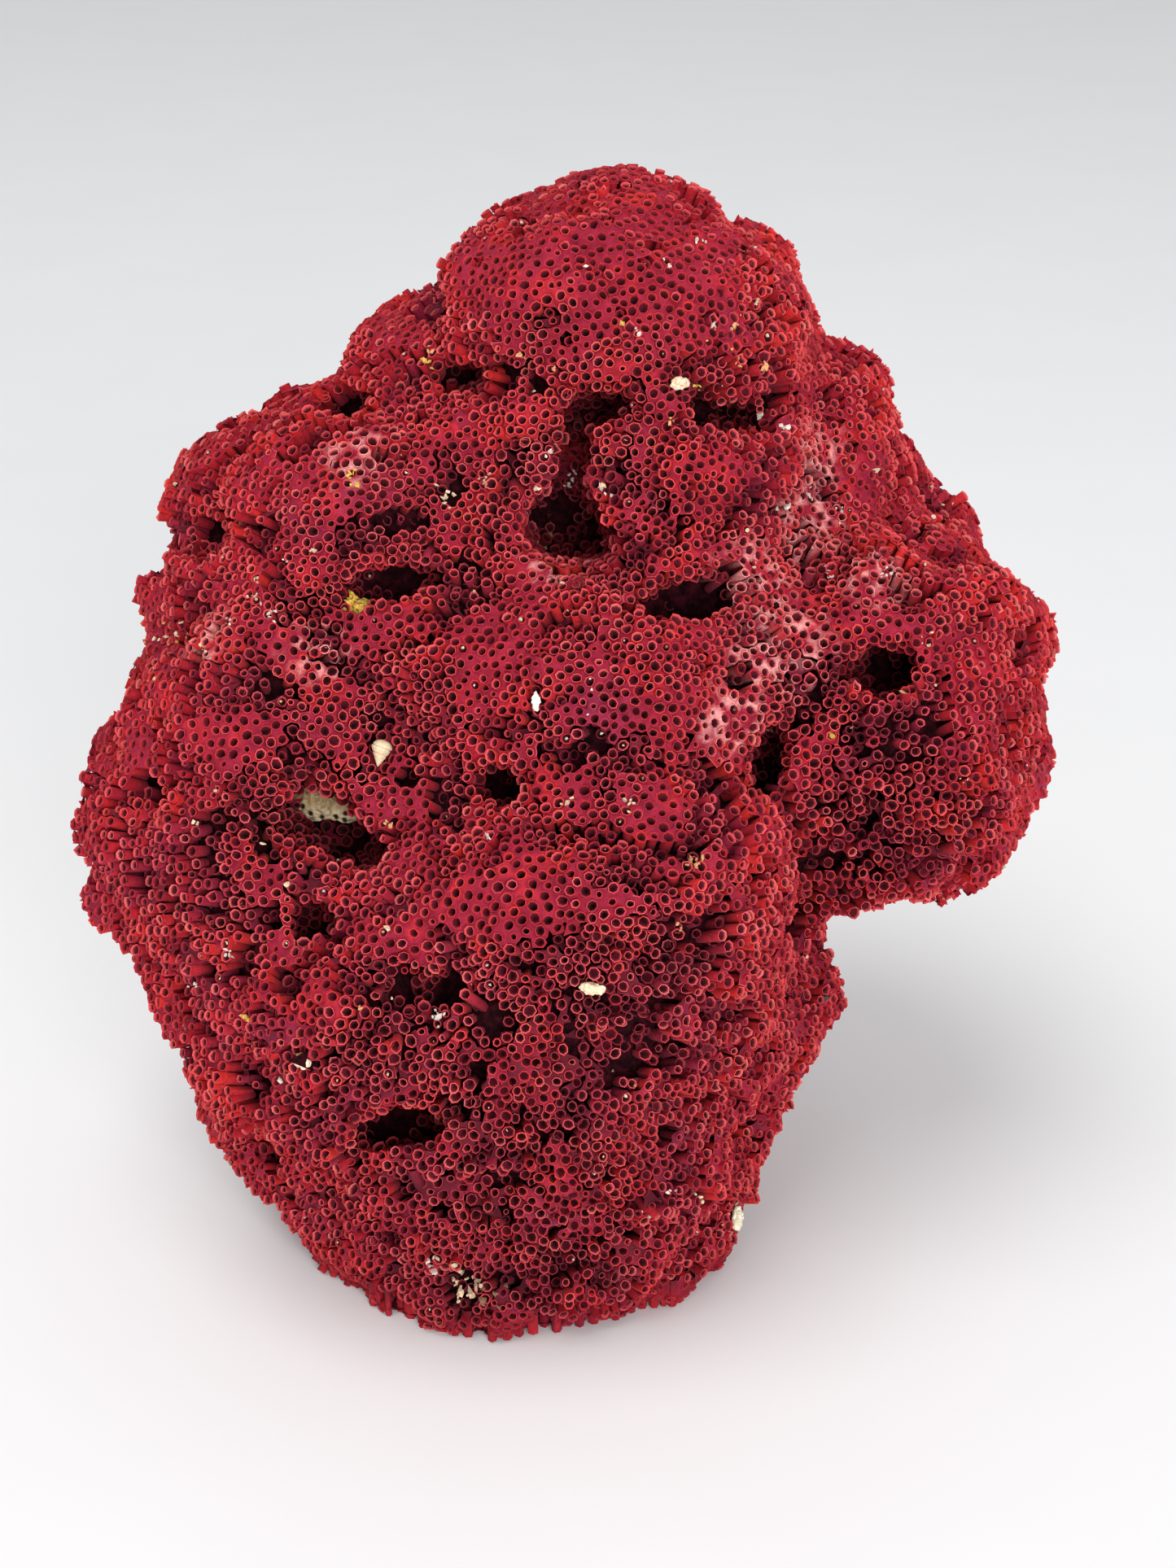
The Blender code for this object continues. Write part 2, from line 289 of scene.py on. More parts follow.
coralLook = {
    "tube": (0.37, 0.009, 0.022),
    "tubeBright": (0.56, 0.020, 0.028),
    "platform": (0.24, 0.008, 0.030),
    "platformLight": (0.35, 0.017, 0.044),
    # painted highlight on the tubes' lips
    "rim": (0.80, 0.100, 0.105),
    "rimPale": (0.90, 0.30, 0.25),
    # purple of old growth, also painted shade on low platforms
    "oldPurpleAndShade": (0.200, 0.024, 0.085),
    # bright red: the tubes' own fresh red, and painted light on raised tubes
    "freshAndLitRed": (0.66, 0.026, 0.022),
    "bleached": (0.80, 0.33, 0.32),
    # painted shade down the bores, at the tubes' feet and on sunk platforms
    "insideShade": (0.115, 0.008, 0.019),
    "hollow": (0.36, 0.24, 0.36),  # multiplies the colour where little light comes in
    "mottle": ((0.46, 0.46, 0.50), (1.36, 1.34, 1.30)),  # multiplies it from spot to spot
}


def coralFinish():
    look = coralLook
    finish = Finish("coralRed")
    rim, depthShade, platform, tone = finish.channels("look")
    pale, purple, bright, rimLight = finish.channels("wear")
    dusk = finish.channels("dusk")[0]
    broad = finish.noise(16, 1)
    patchy = finish.noise(4.5, 2)
    grain = finish.noise(0.5, 2, 0.7)
    tubeTone = (tone * 0.75 + broad * 0.9 - 0.5).clamped()
    tube = finish.mix(look["tube"], look["tubeBright"], tubeTone)
    plateTone = (patchy * 1.1 + tone * 0.4 - 0.4).clamped()
    plate = finish.mix(look["platform"], look["platformLight"], plateTone)
    body = finish.mix(tube, plate, platform)
    # brighter red, partly painted light on raised tubes
    body = finish.mix(body, look["freshAndLitRed"], (bright * (0.85 - platform * 0.55)).clamped())
    # purple of old growth, partly painted shade where platforms lie low
    body = finish.mix(body, look["oldPurpleAndShade"], (purple * (0.38 + platform * 0.34)).clamped())
    body = finish.mix(body, look["bleached"], (pale * (grain * 1.1 + 0.30)).clamped())
    fleck = finish.noise(1.3, 2, 0.65)
    mottle = finish.mix(*look["mottle"], (grain * 0.75 + fleck * 0.95 - 0.35).clamped())
    body = finish.mix(body, mottle, 1.0, "MULTIPLY")
    # painted highlight: the lips' lit edges, stronger where a mouth stands higher above its
    # platform
    lip = finish.mix(look["rim"], look["rimPale"], (tone * 1.1 - 0.60 + pale * 0.6).clamped())
    lit = (rim.smooth(0.66, 0.95) * rimLight * (0.45 + grain * 0.9)).clamped()
    body = finish.mix(body, lip, lit)
    # painted shade: darker down the bores, at the tubes' feet and on sunk platforms
    body = finish.mix(body, look["insideShade"], depthShade.smooth(0.0, 0.20))
    # painted shade, multiplied in where the coral hides the sky, in deep gaps and near the floor
    body = finish.mix(body, look["hollow"], dusk * 0.92, "MULTIPLY")
    finish.set(Base_Color=body, Roughness=0.62 + grain * 0.3, Specular_IOR_Level=0.15)
    finish.set(Sheen_Weight=0.04, Sheen_Roughness=0.5, Sheen_Tint=(1.0, 0.55, 0.55))
    finish.bump(grain, 0.15, 0.9)
    return finish.material


# The skin that the tubes grow on

skinPlan = {
    "grid": 0.8 * mm,
    "rounds": 8,  # softens the solid's facets
    "coarseGrid": 4.5 * mm,
    "coarseRounds": 14,
    "normalRounds": 6,
}


def surfaceOf(node, grid, rounds):
    points, triangles = meltedArrays(node.data, grid)
    points = relaxed(points, edgesOf(triangles), rounds)
    return points, triangles, normalsOf(points, triangles)


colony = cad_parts["coral_colony"]
skin, skinTriangles, skinNormals = surfaceOf(colony, skinPlan["grid"], skinPlan["rounds"])
skinEdges = edgesOf(skinTriangles)
coarse, coarseTriangles, coarseNormals = surfaceOf(
    colony, skinPlan["coarseGrid"], skinPlan["coarseRounds"]
)
coarseNormals = relaxed(coarseNormals, edgesOf(coarseTriangles), skinPlan["normalRounds"])
coarseNormals = unit(coarseNormals)
print("skin:", len(skin), "points,", len(skinTriangles), "faces")


def treeOf(places):
    tree = kdtree.KDTree(len(places))
    for index, place in enumerate(places.tolist()):
        tree.insert(place, index)
    tree.balance()
    return tree


def nearestIndex(places, among):
    find = treeOf(among).find
    return np.array([find(place)[1] for place in places.tolist()])


growthPlan = {
    "climb": 0.50,  # least upward share of a tube's direction on the lower sides
    "overhang": (-0.80, -0.40),  # undersides that face down more keep their own direction
    "axis": (-0.010, 0.006),  # the middle that the lower body's layers wrap round, x and y
    "slope": 26.0,  # degrees that the layers' tubes climb
    "lightward": (0.0, -0.40, 0.14),  # how far tubes on the flanks turn to the open side
    "near": 5,  # points of the coarse skin that give a way
    "flankStart": (-0.30, 0.10),  # how far a flank faces the viewer, from none to full
    "flankEnd": (0.50, 0.90),
    "layered": (0.05, 0.35),  # lift at which the tubes stand in layers
}


def growthAt(places):
    # the tubes' way, smooth over clefts and caves, how far the tubes stand in layers,
    # and the way out of the colony
    tree, count = treeOf(coarse), growthPlan["near"]
    near = np.array(
        [[found[1] for found in tree.find_n(place, count)] for place in places.tolist()]
    )
    outward = unit(coarseNormals[near].mean(axis=1))
    lift = np.clip(growthPlan["climb"] - outward[:, 2], 0, 2)
    lift *= smoothStep(outward[:, 2], *growthPlan["overhang"])
    way = unit(outward + lift[:, None] * np.array([0, 0, 1]))
    facing = -way @ np.array(eyeForward)
    flank = smoothStep(facing, *growthPlan["flankStart"])
    flank *= 1 - smoothStep(facing, *growthPlan["flankEnd"])
    way = unit(way + flank[:, None] * np.array(growthPlan["lightward"]))
    return way, smoothStep(lift, *growthPlan["layered"]), outward


def layerHeight(places):
    # the concentric layers of the lower body, as a height along the tubes in metres
    slope = math.radians(growthPlan["slope"])
    out = np.linalg.norm(places[:, :2] - np.array(growthPlan["axis"]), axis=1)
    return out * math.cos(slope) + places[:, 2] * math.sin(slope)


# The photograph's own spots are found by casting its pixels onto the skin.
skinTree = BVHTree.FromPolygons(skin.tolist(), skinTriangles.tolist())


def photoSpot(x, y):
    width, height = view["frame"]
    reach = view["lens"] / view["sensor"] * height
    across, up = (x - width / 2) / reach, (height / 2 - y) / reach
    hit = skinTree.ray_cast(eyePlace, (eyeForward + eyeRight * across + eyeUp * up).normalized())
    return None if hit[0] is None else np.array(hit[0])


def spotShare(places, spots):
    # 1 at each named spot, falling to 0 at its reach in millimetres
    share = np.zeros(len(places))
    for x, y, reach in spots:
        spot = photoSpot(x, y)
        if spot is not None:
            away = np.linalg.norm(places - spot, axis=1) / (reach * mm)
            share = np.maximum(share, 1 - smoothStep(away, 0.4, 1.0))
    return share


# Where each tube stands

tubePlan = {
    "spacing": 2.20,  # between neighbours on the crown, mm
    "lowSpacing": 2.42,  # on the belly and the foot
    "lowHeights": (105, 150),  # where the one turns into the other, mm
    "backSpacing": 3.2,
    "radius": 1.06,
    "backRadius": 1.12,
    "smallShare": 0.13,
    "wall": 0.14,
    "mouthDepth": 4.2,
    "length": 5.4,  # how far a tube reaches below its platform
    "lean": 4.0,  # degrees
    "openLean": 9.0,
    "sides": 7,
    "backSides": 6,
    "tries": 380000,
    "closest": 0.70,  # two tubes' least distance, of the mean spacing
    "evenRounds": 6,
}


def scatterSeeds():
    spacing, backSpacing = tubePlan["spacing"], tubePlan["backSpacing"]
    a, b, c = (skin[skinTriangles[:, k]] for k in range(3))
    area = np.linalg.norm(np.cross(b - a, c - a), axis=1) / 2
    tries, closest = tubePlan["tries"], tubePlan["closest"]
    chosen = chance.choice(len(area), tries, p=area / area.sum())
    u, v = chance.random(tries), chance.random(tries)
    flip = u + v > 1
    u[flip], v[flip] = 1 - u[flip], 1 - v[flip]
    places = a[chosen] + u[:, None] * (b - a)[chosen] + v[:, None] * (c - a)[chosen]
    facing = skinNormals[skinTriangles[chosen, 0]]
    ways = skinGrowth[skinTriangles[chosen, 0]].tolist()
    behind = smoothStep(facing[:, 1] - 0.35 * facing[:, 2], 0.0, 0.7)
    low = 1 - smoothStep(places[:, 2] / mm, *tubePlan["lowHeights"])
    front = spacing + (tubePlan["lowSpacing"] - spacing) * low
    gaps = (front + (backSpacing - front) * behind) * closest * mm
    cell = backSpacing * closest * mm
    keys = np.floor(places / cell).astype(int).tolist()
    around = [(i, j, k) for i in (-1, 0, 1) for j in (-1, 0, 1) for k in (-1, 0, 1)]
    grid, seeds = {}, []
    for place, (i, j, k), gap, (wx, wy, wz) in zip(places.tolist(), keys, gaps.tolist(), ways):
        x, y, z = place
        limit = gap * gap
        clear = True
        for di, dj, dk in around:
            for px, py, pz in grid.get((i + di, j + dj, k + dk), ()):
                dx, dy, dz = px - x, py - y, pz - z
                along = dx * wx + dy * wy + dz * wz  # tubes are parted across their length
                if dx * dx + dy * dy + dz * dz - 0.8 * along * along < limit:
                    clear = False
                    break
            if not clear:
                break
        if clear:
            grid.setdefault((i, j, k), []).append((x, y, z))
            seeds.append(place)
    return np.array(seeds)


skinGrowth = growthAt(skin)[0]
seeds = scatterSeeds()
tubeCount = len(seeds)
for _ in range(tubePlan["evenRounds"]):  # evens out the spacing, as the animals do
    owner = nearestIndex(skin, seeds)
    count = np.maximum(np.bincount(owner, minlength=tubeCount), 1)[:, None]
    seeds += 0.6 * (sumsBy(owner, skin, tubeCount) / count - seeds)
owner = nearestIndex(skin, seeds)
growth, layered, outward = growthAt(seeds)
facing = -outward @ np.array(eyeForward)
turned = 1 - smoothStep(facing, 0.10, 0.85)  # flanks and back are less broken
layered *= 1 - 0.9 * turned
onCut = (seeds[:, 2] < 1.0 * mm) & (skinNormals[nearestIndex(seeds, skin), 2] < -0.75)
growth[onCut] = (0, 0, -1)
layered[onCut] = 0
height = layerHeight(seeds)
count = np.maximum(np.bincount(owner, minlength=tubeCount), 1)[:, None]
localNormal = unit(sumsBy(owner, skinNormals, tubeCount) / count)
upright = (localNormal * growth).sum(1)
print("tubes:", tubeCount)

# Spots of the photograph (x, y, reach in mm) where the platforms are broken open or whole.
openSpots = [
    (505, 700, 8), (845, 745, 9), (620, 465, 5), (760, 590, 6), (560, 600, 4), (500, 640, 4),
    (545, 965, 6), (905, 830, 4), (735, 905, 3), (1100, 930, 5), (905, 1000, 5), (780, 1080, 4),
    (560, 1230, 6), (700, 1400, 5), (760, 1330, 5), (850, 1300, 6), (620, 1500, 4),
    (480, 1220, 6), (300, 1180, 5), (250, 1010, 5), (200, 930, 4), (320, 830, 4), (300, 560, 5),
    (960, 560, 5), (880, 1140, 5), (1000, 1060, 6), (690, 1560, 5), (560, 1590, 5),
    (860, 1480, 5), (300, 1330, 5),
]
wholeSpots = [
    (760, 300, 26), (620, 330, 16), (860, 380, 14), (560, 560, 11), (420, 600, 10),
    (610, 780, 12), (780, 830, 13), (430, 800, 12), (640, 1090, 15), (800, 1000, 9),
    (560, 1450, 9), (700, 1480, 9), (1180, 700, 14), (1200, 960, 12), (880, 590, 9),
    (1010, 760, 8), (280, 900, 9), (340, 1240, 9),
]
raggedSpots = [  # where the tubes' ends are broken and bright
    (620, 560, 13), (870, 520, 15), (960, 420, 13), (720, 730, 9), (400, 880, 9), (480, 1270, 11),
    (260, 1150, 9), (1180, 1050, 10), (330, 520, 10), (560, 1330, 9), (880, 1330, 10),
    (250, 1330, 9), (1090, 480, 10), (1240, 760, 10), (740, 1180, 8), (420, 1080, 8),
]
gapSpots = [  # deep dark gaps between the islands
    (575, 462, 4.0), (430, 500, 4.5), (480, 640, 3.2), (600, 660, 3.2), (260, 650, 4.2),
    (205, 665, 3.4), (300, 640, 2.8), (240, 720, 2.8), (340, 845, 3.0), (180, 960, 4.2),
    (330, 1040, 4.2), (250, 1060, 3.2), (330, 1130, 3.4), (350, 1210, 4.0), (260, 1120, 2.8),
    (600, 1250, 4.0), (690, 1230, 2.6), (870, 1240, 3.8), (862, 1150, 3.2), (820, 1235, 2.6),
    (780, 1310, 4.0), (580, 1320, 3.6), (640, 1370, 2.8), (700, 1405, 3.8), (760, 1435, 3.4),
    (430, 1370, 3.6), (560, 1360, 3.2), (420, 1430, 3.8), (340, 1430, 3.6), (350, 1362, 3.2),
    (290, 1345, 3.0), (402, 1305, 3.0), (480, 1525, 3.6), (250, 1330, 2.6), (905, 1035, 3.6),
    (945, 1065, 3.4), (1040, 1100, 3.4), (240, 1190, 2.8), (570, 1572, 3.4), (820, 1390, 3.2),
    (540, 1490, 3.2), (850, 1320, 2.8), (905, 1210, 2.8), (740, 1520, 2.8), (640, 1455, 2.6),
    (900, 700, 2.8), (560, 1010, 3.0), (700, 930, 2.8), (500, 960, 2.6), (1000, 860, 3.0),
    (360, 560, 2.6), (660, 470, 2.6), (960, 480, 2.8), (850, 600, 2.6),
]
bleachedSpots = [
    (960, 800, 13), (985, 640, 11), (1080, 700, 9), (1000, 560, 9), (900, 880, 9), (930, 720, 11),
    (390, 800, 8), (430, 560, 8), (690, 700, 6), (250, 780, 7),
]

terraces = [  # noise above the first number: platform's height over the skin, mm
    (-0.02, 0.1), (-0.22, -1.25), (-0.42, -2.6), (-0.66, -4.1), (-9, -5.2),
]
layerStep = 2.7  # between the layers' platforms, mm


def levelPlan():
    # how high each tube's platform lies, and how far its mouth stands above that
    rank = 0.68 * noiseAt(seeds, 10.0) + 0.52 * noiseAt(seeds, 4.6, (9, 4, 2))
    rank += 0.10 * chance.normal(size=tubeCount) + 0.02
    rank += 0.55 * whole - 0.95 * spotShare(seeds, openSpots) - 1.7 * gap
    level = np.select([rank > low for low, _ in terraces], [height for _, height in terraces])
    level = level + 0.40 * noiseAt(seeds, 6.0, (5, 5, 0)) - 0.12
    layer = height / (layerStep * mm) + 0.40 * noiseAt(seeds, 13, (1, 9, 4))
    layer += 0.32 * noiseAt(seeds, 5.5, (6, 2, 2))
    stepped = np.floor(layer) * layerStep - height / mm
    stepped = np.clip(stepped, -1.25 * layerStep, 0.1) + np.minimum(level, 0) * 0.85
    level = level + (stepped - level) * layered
    stand = 0.36 + 0.30 * noiseAt(seeds, 7.0, (2, 8, 8)) + 0.15 * chance.normal(size=tubeCount)
    stand = np.clip(stand * (1 - 0.6 * whole), 0.06, 1.3)
    tall = chance.random(tubeCount) < np.select([rank > -0.02, rank > -0.42], [0.03, 0.16], 0.34)
    stand += tall * chance.uniform(0.5, 3.2, tubeCount)
    stand += ragged * chance.uniform(0, 1.1, tubeCount)
    level = np.clip(level * (1 - 0.45 * turned), -6.4, 0.6)
    stand = stand * (1 - 0.50 * turned)
    return rank, level, np.minimum(level + stand, 1.0)


lodged = {  # how far round each lodged thing the tubes are worn, mm
    "snail_shell": 2.2, "yellow_crumb": 1.8, "crust_lump": 1.1, "shell_chip_1": 1.6,
    "shell_chip_2": 1.6, "shell_chip_3": 1.6, "shell_chip_4": 1.6, "shell_chip_5": 1.6,
}


def clearings():
    # tubes next to a lodged thing are worn down, so that it lies open
    worn = np.zeros(tubeCount)
    for name, reach in lodged.items():
        solid, _ = meshArrays(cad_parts[name].data)
        away = np.linalg.norm(seeds[:, None] - solid[None], axis=2).min(1)
        worn = np.maximum(worn, 1 - smoothStep(away / mm, 0.45 * reach, reach))
    return worn


worn = clearings()
whole, gap = spotShare(seeds, wholeSpots), spotShare(seeds, gapSpots)
ragged = smoothStep(noiseAt(seeds, 11, (8, 2, 7)), 0.45, 0.9)
ragged = np.maximum(spotShare(seeds, raggedSpots), ragged)
brink = smoothStep(upright, 0.30, 0.55) * (1 - smoothStep(upright, 0.72, 0.88)) * (1 - layered)
ragged = np.maximum(ragged, 0.8 * brink)
rank, platformLevel, mouth = levelPlan()
steep = upright < 0.42  # the walls of clefts and caves
bare = steep | ((rank < -0.66) & (chance.random(tubeCount) < 0.5))
mouth[steep] += chance.uniform(-1.2, 0.8, steep.sum())
mouth -= worn * np.clip(mouth + 1.5, 0, 4)
platformLevel = np.where(worn > 0.3, np.minimum(platformLevel, -1.9), platformLevel)
platformLevel[onCut], bare[onCut] = -0.8 - 0.5 * chance.random(onCut.sum()), False
mouth[onCut] = 0.0

# A tube leans a little off the growth, and more where no platform holds it.
lean = np.where(bare | (rank < -0.42), tubePlan["openLean"], tubePlan["lean"]) + 5 * ragged
ownWay = 0.30 * (1 - 0.7 * layered)[:, None]  # how far a tube follows its own spot of the skin
axis = unit(growth * (1 - ownWay) + localNormal * ownWay)
axis[steep] = unit(growth[steep] * 0.6 + localNormal[steep] * 0.4)
axis = unit(axis + np.tan(np.radians(lean))[:, None] * chance.normal(size=(tubeCount, 3)) * 0.6)
helper = np.where(np.abs(axis[:, 2:3]) < 0.8, np.array([[0, 0, 1.0]]), np.array([[1.0, 0, 0]]))
axis[onCut] = (0, 0, -1)
sideA = unit(np.cross(helper, axis))
turn = chance.uniform(0, 2 * math.pi, tubeCount)[:, None]
sideA = sideA * np.cos(turn) + np.cross(axis, sideA) * np.sin(turn)
sideB = np.cross(axis, sideA)


shelterPlan = {
    "looks": 14,
    "turn": 2.399963,  # the golden angle spreads the looks evenly
    "lowest": 0.85,  # how far down the sky they go, of a right angle's height
    "start": 1.5,  # above the skin, mm
    "reach": 50 * mm,
}


def shelterAt(places, outward):
    # the share of the open sky that the coral itself hides, seen a little above each place
    steps = np.arange(shelterPlan["looks"])
    turns = steps * shelterPlan["turn"]
    heights = 1 - (steps + 0.5) / shelterPlan["looks"] * shelterPlan["lowest"]
    flat = np.sqrt(1 - heights**2)
    local = np.stack([np.cos(turns) * flat, np.sin(turns) * flat, heights], 1)
    first = unit(np.cross(outward, helper))
    second = np.cross(outward, first)
    starts = places + outward * shelterPlan["start"] * mm
    hidden = np.zeros(len(places))
    for x, y, z in local:
        looks = first * x + second * y + outward * z
        for index, (start, look) in enumerate(zip(starts.tolist(), looks.tolist())):
            if skinTree.ray_cast(start, look, shelterPlan["reach"])[0] is not None:
                hidden[index] += z
    return hidden / local[:, 2].sum()


shelter = shelterAt(seeds, unit(growth + localNormal))
neighbours = treeOf(seeds)
nearest = np.array([neighbours.find_n(place, 2)[1][2] for place in seeds.tolist()]) / mm
behind = growth[:, 1] - 0.35 * growth[:, 2] > 0.30
radius = np.where(behind, tubePlan["backRadius"], tubePlan["radius"])
radius = radius * (1 + 0.09 * chance.normal(size=tubeCount) + 0.16 * ragged)
small = chance.random(tubeCount) < tubePlan["smallShare"] * (1 + ragged)
radius = np.clip(np.where(small, radius * 0.7, radius), 0.50, np.minimum(1.25, 0.535 * nearest))
wall = tubePlan["wall"] * (1 + 0.15 * chance.normal(size=tubeCount) - 0.12 * ragged)
tone = 0.46 + 0.22 * chance.normal(size=tubeCount) + 0.25 * noiseAt(seeds, 9, (7, 1, 3))
# the layered lower body is painted lighter: painted light
tone = np.clip(tone + 0.20 * layered, 0, 1)
missing = (rank < -0.8) & (chance.random(tubeCount) < 0.35 + 0.45 * gap) & ~onCut
missing |= (axis * localNormal).sum(1) < 0.15  # a tube that would run out through the skin
# purple: partly the coral's own colour at random, partly painted shade, deeper the lower the
# platform lies
purple = -platformLevel / 4.0 + 0.45 * noiseAt(seeds, 14, (1, 6, 2)) + 0.05 * layered
purple = smoothStep(purple, 0.18, 0.95)
# painted shade: darker where the coral hides the sky, where a mouth lies deep among its
# neighbours, and near the floor; a little less on the layered lower body
shade = smoothStep(shelter, 0.22, 0.75) * (1 - 0.25 * layered)
shade = np.maximum(shade, 0.75 * smoothStep(-mouth, 2.4, 5.2))
nearFloor = 1 - smoothStep(seeds[:, 2] / mm, 2, 13)
shade = np.maximum(shade, 0.45 * nearFloor)
# brighter red: partly the tubes' own tone at random and on broken ends, partly painted light where
# a mouth stands higher and on the layered lower body; less near the floor, as painted shade
bright = noiseAt(seeds, 8, (3, 3, 9)) + 0.35 * chance.normal(size=tubeCount) + 0.35 * ragged
bright = smoothStep(bright + 0.20 * mouth + 0.05 + 0.18 * layered, 0.30, 0.95)
bright *= 1 - 0.8 * nearFloor
# strength of the painted highlight on each tube's lip, more where the mouth stands higher above
# its platform
rimLight = (mouth - platformLevel - 0.12) / 0.42 + 0.2 * chance.normal(size=tubeCount)
rimLight = np.clip(rimLight, 0.16, 1.0)


# Tubes and platforms as one set of triangles

cloud = {"points": [], "look": [], "triangles": [], "owner": [], "size": 0}


def addToCloud(points, look, triangles, owners):
    cloud["triangles"].append(triangles + cloud["size"])
    cloud["points"].append(points)
    cloud["look"].append(look)
    cloud["owner"].append(owners)
    cloud["size"] += len(points)


def lookOf(rim, depthShade, platform, tones):
    return np.stack(np.broadcast_arrays(rim, depthShade, platform, tones), -1).astype(float)


def ringPoints(who, angles, level, size):
    first, second = sideA[who][:, None], sideB[who][:, None]
    spread = np.cos(angles)[..., None] * first + np.sin(angles)[..., None] * second
    centre = seeds[who][:, None] + axis[who][:, None] * (level * mm)[..., None]
    return centre + spread * (size * mm)[..., None]


def bandFaces(start, sides):
    # the triangles between a ring of corners and the next ring
    turn = np.arange(sides)
    here, after = start + turn, start + (turn + 1) % sides
    first, second = [here, after, after + sides], [here, after + sides, here + sides]
    return np.concatenate([np.stack(first, 1), np.stack(second, 1)])


lips = np.zeros((tubeCount, tubePlan["sides"], 3))


def buildTubes(who, sides, walled):
    # rings from the foot up: foot, lip outside, lip inside, and a point deep in the bore
    number = len(who)
    angles = np.tile(np.arange(sides) * (2 * math.pi / sides) - math.pi, (number, 1))
    oval = 1 + 0.07 * np.cos(2 * (angles - chance.uniform(0, math.pi, number)[:, None]))
    outer = radius[who][:, None] * oval * (1 + 0.03 * chance.normal(size=(number, sides)))
    inner = outer - wall[who][:, None]
    broken = (chance.random(number) < (0.12 + 0.5 * ragged[who]) * walled)[:, None]
    chip = np.where(broken, 0.32, 0.06) * chance.normal(size=(number, sides))
    chip[onCut[who]] = 0
    lip = mouth[who][:, None] + chip
    foot = np.broadcast_to((platformLevel[who] - tubePlan["length"])[:, None], lip.shape)
    bore = seeds[who] + axis[who] * ((mouth[who] - tubePlan["mouthDepth"]) * mm)[:, None]
    rings = [
        ringPoints(who, angles, foot, outer * 0.97),
        ringPoints(who, angles, lip, outer),
        ringPoints(who, angles, lip, inner),
    ]
    lips[who, :sides] = rings[1]
    points = np.concatenate([*rings, bore[:, None]], axis=1)
    tones = tone[who][:, None]
    flat = np.zeros((number, sides))
    # rim share and painted shade for each ring; the foot and the bore's bottom are painted darker
    parts = ((0.0, flat + 0.16), (0.55, flat), (1.0, flat), (0.0, flat[:, :1] + 1))
    look = np.concatenate([lookOf(rim, depthShade, 0.0, tones) for rim, depthShade in parts], axis=1)
    bands = [bandFaces(0, sides)] if walled else []
    turn = np.arange(sides)
    cone = [2 * sides + turn, 2 * sides + (turn + 1) % sides, np.full(sides, 3 * sides)]
    pattern = np.concatenate([*bands, bandFaces(sides, sides), np.stack(cone, 1)])
    size = 3 * sides + 1
    triangles = (pattern[None] + (np.arange(number) * size)[:, None, None]).reshape(-1, 3)
    owners = np.repeat(who, len(pattern))
    addToCloud(points.reshape(-1, 3), look.reshape(-1, 4), triangles, owners)


def flushTubes():
    # tubes inside an island, with short mouths: the platform itself rises to their lips
    first, second = owner[skinEdges[:, 0]], owner[skinEdges[:, 1]]
    rise = platformLevel[first] - platformLevel[second]
    rise += (layered[first] + layered[second]) / 2 * (height[first] - height[second]) / mm
    stepped = (np.abs(rise) > 0.5) | bare[first] | bare[second]
    stepped |= missing[first] | missing[second]
    ledge = np.zeros(tubeCount, bool)
    ledge[first[stepped]] = True
    ledge[second[stepped]] = True
    return ~ledge & ~bare & ~missing & (mouth - platformLevel < 0.55) & (radius < 0.50 * nearest)


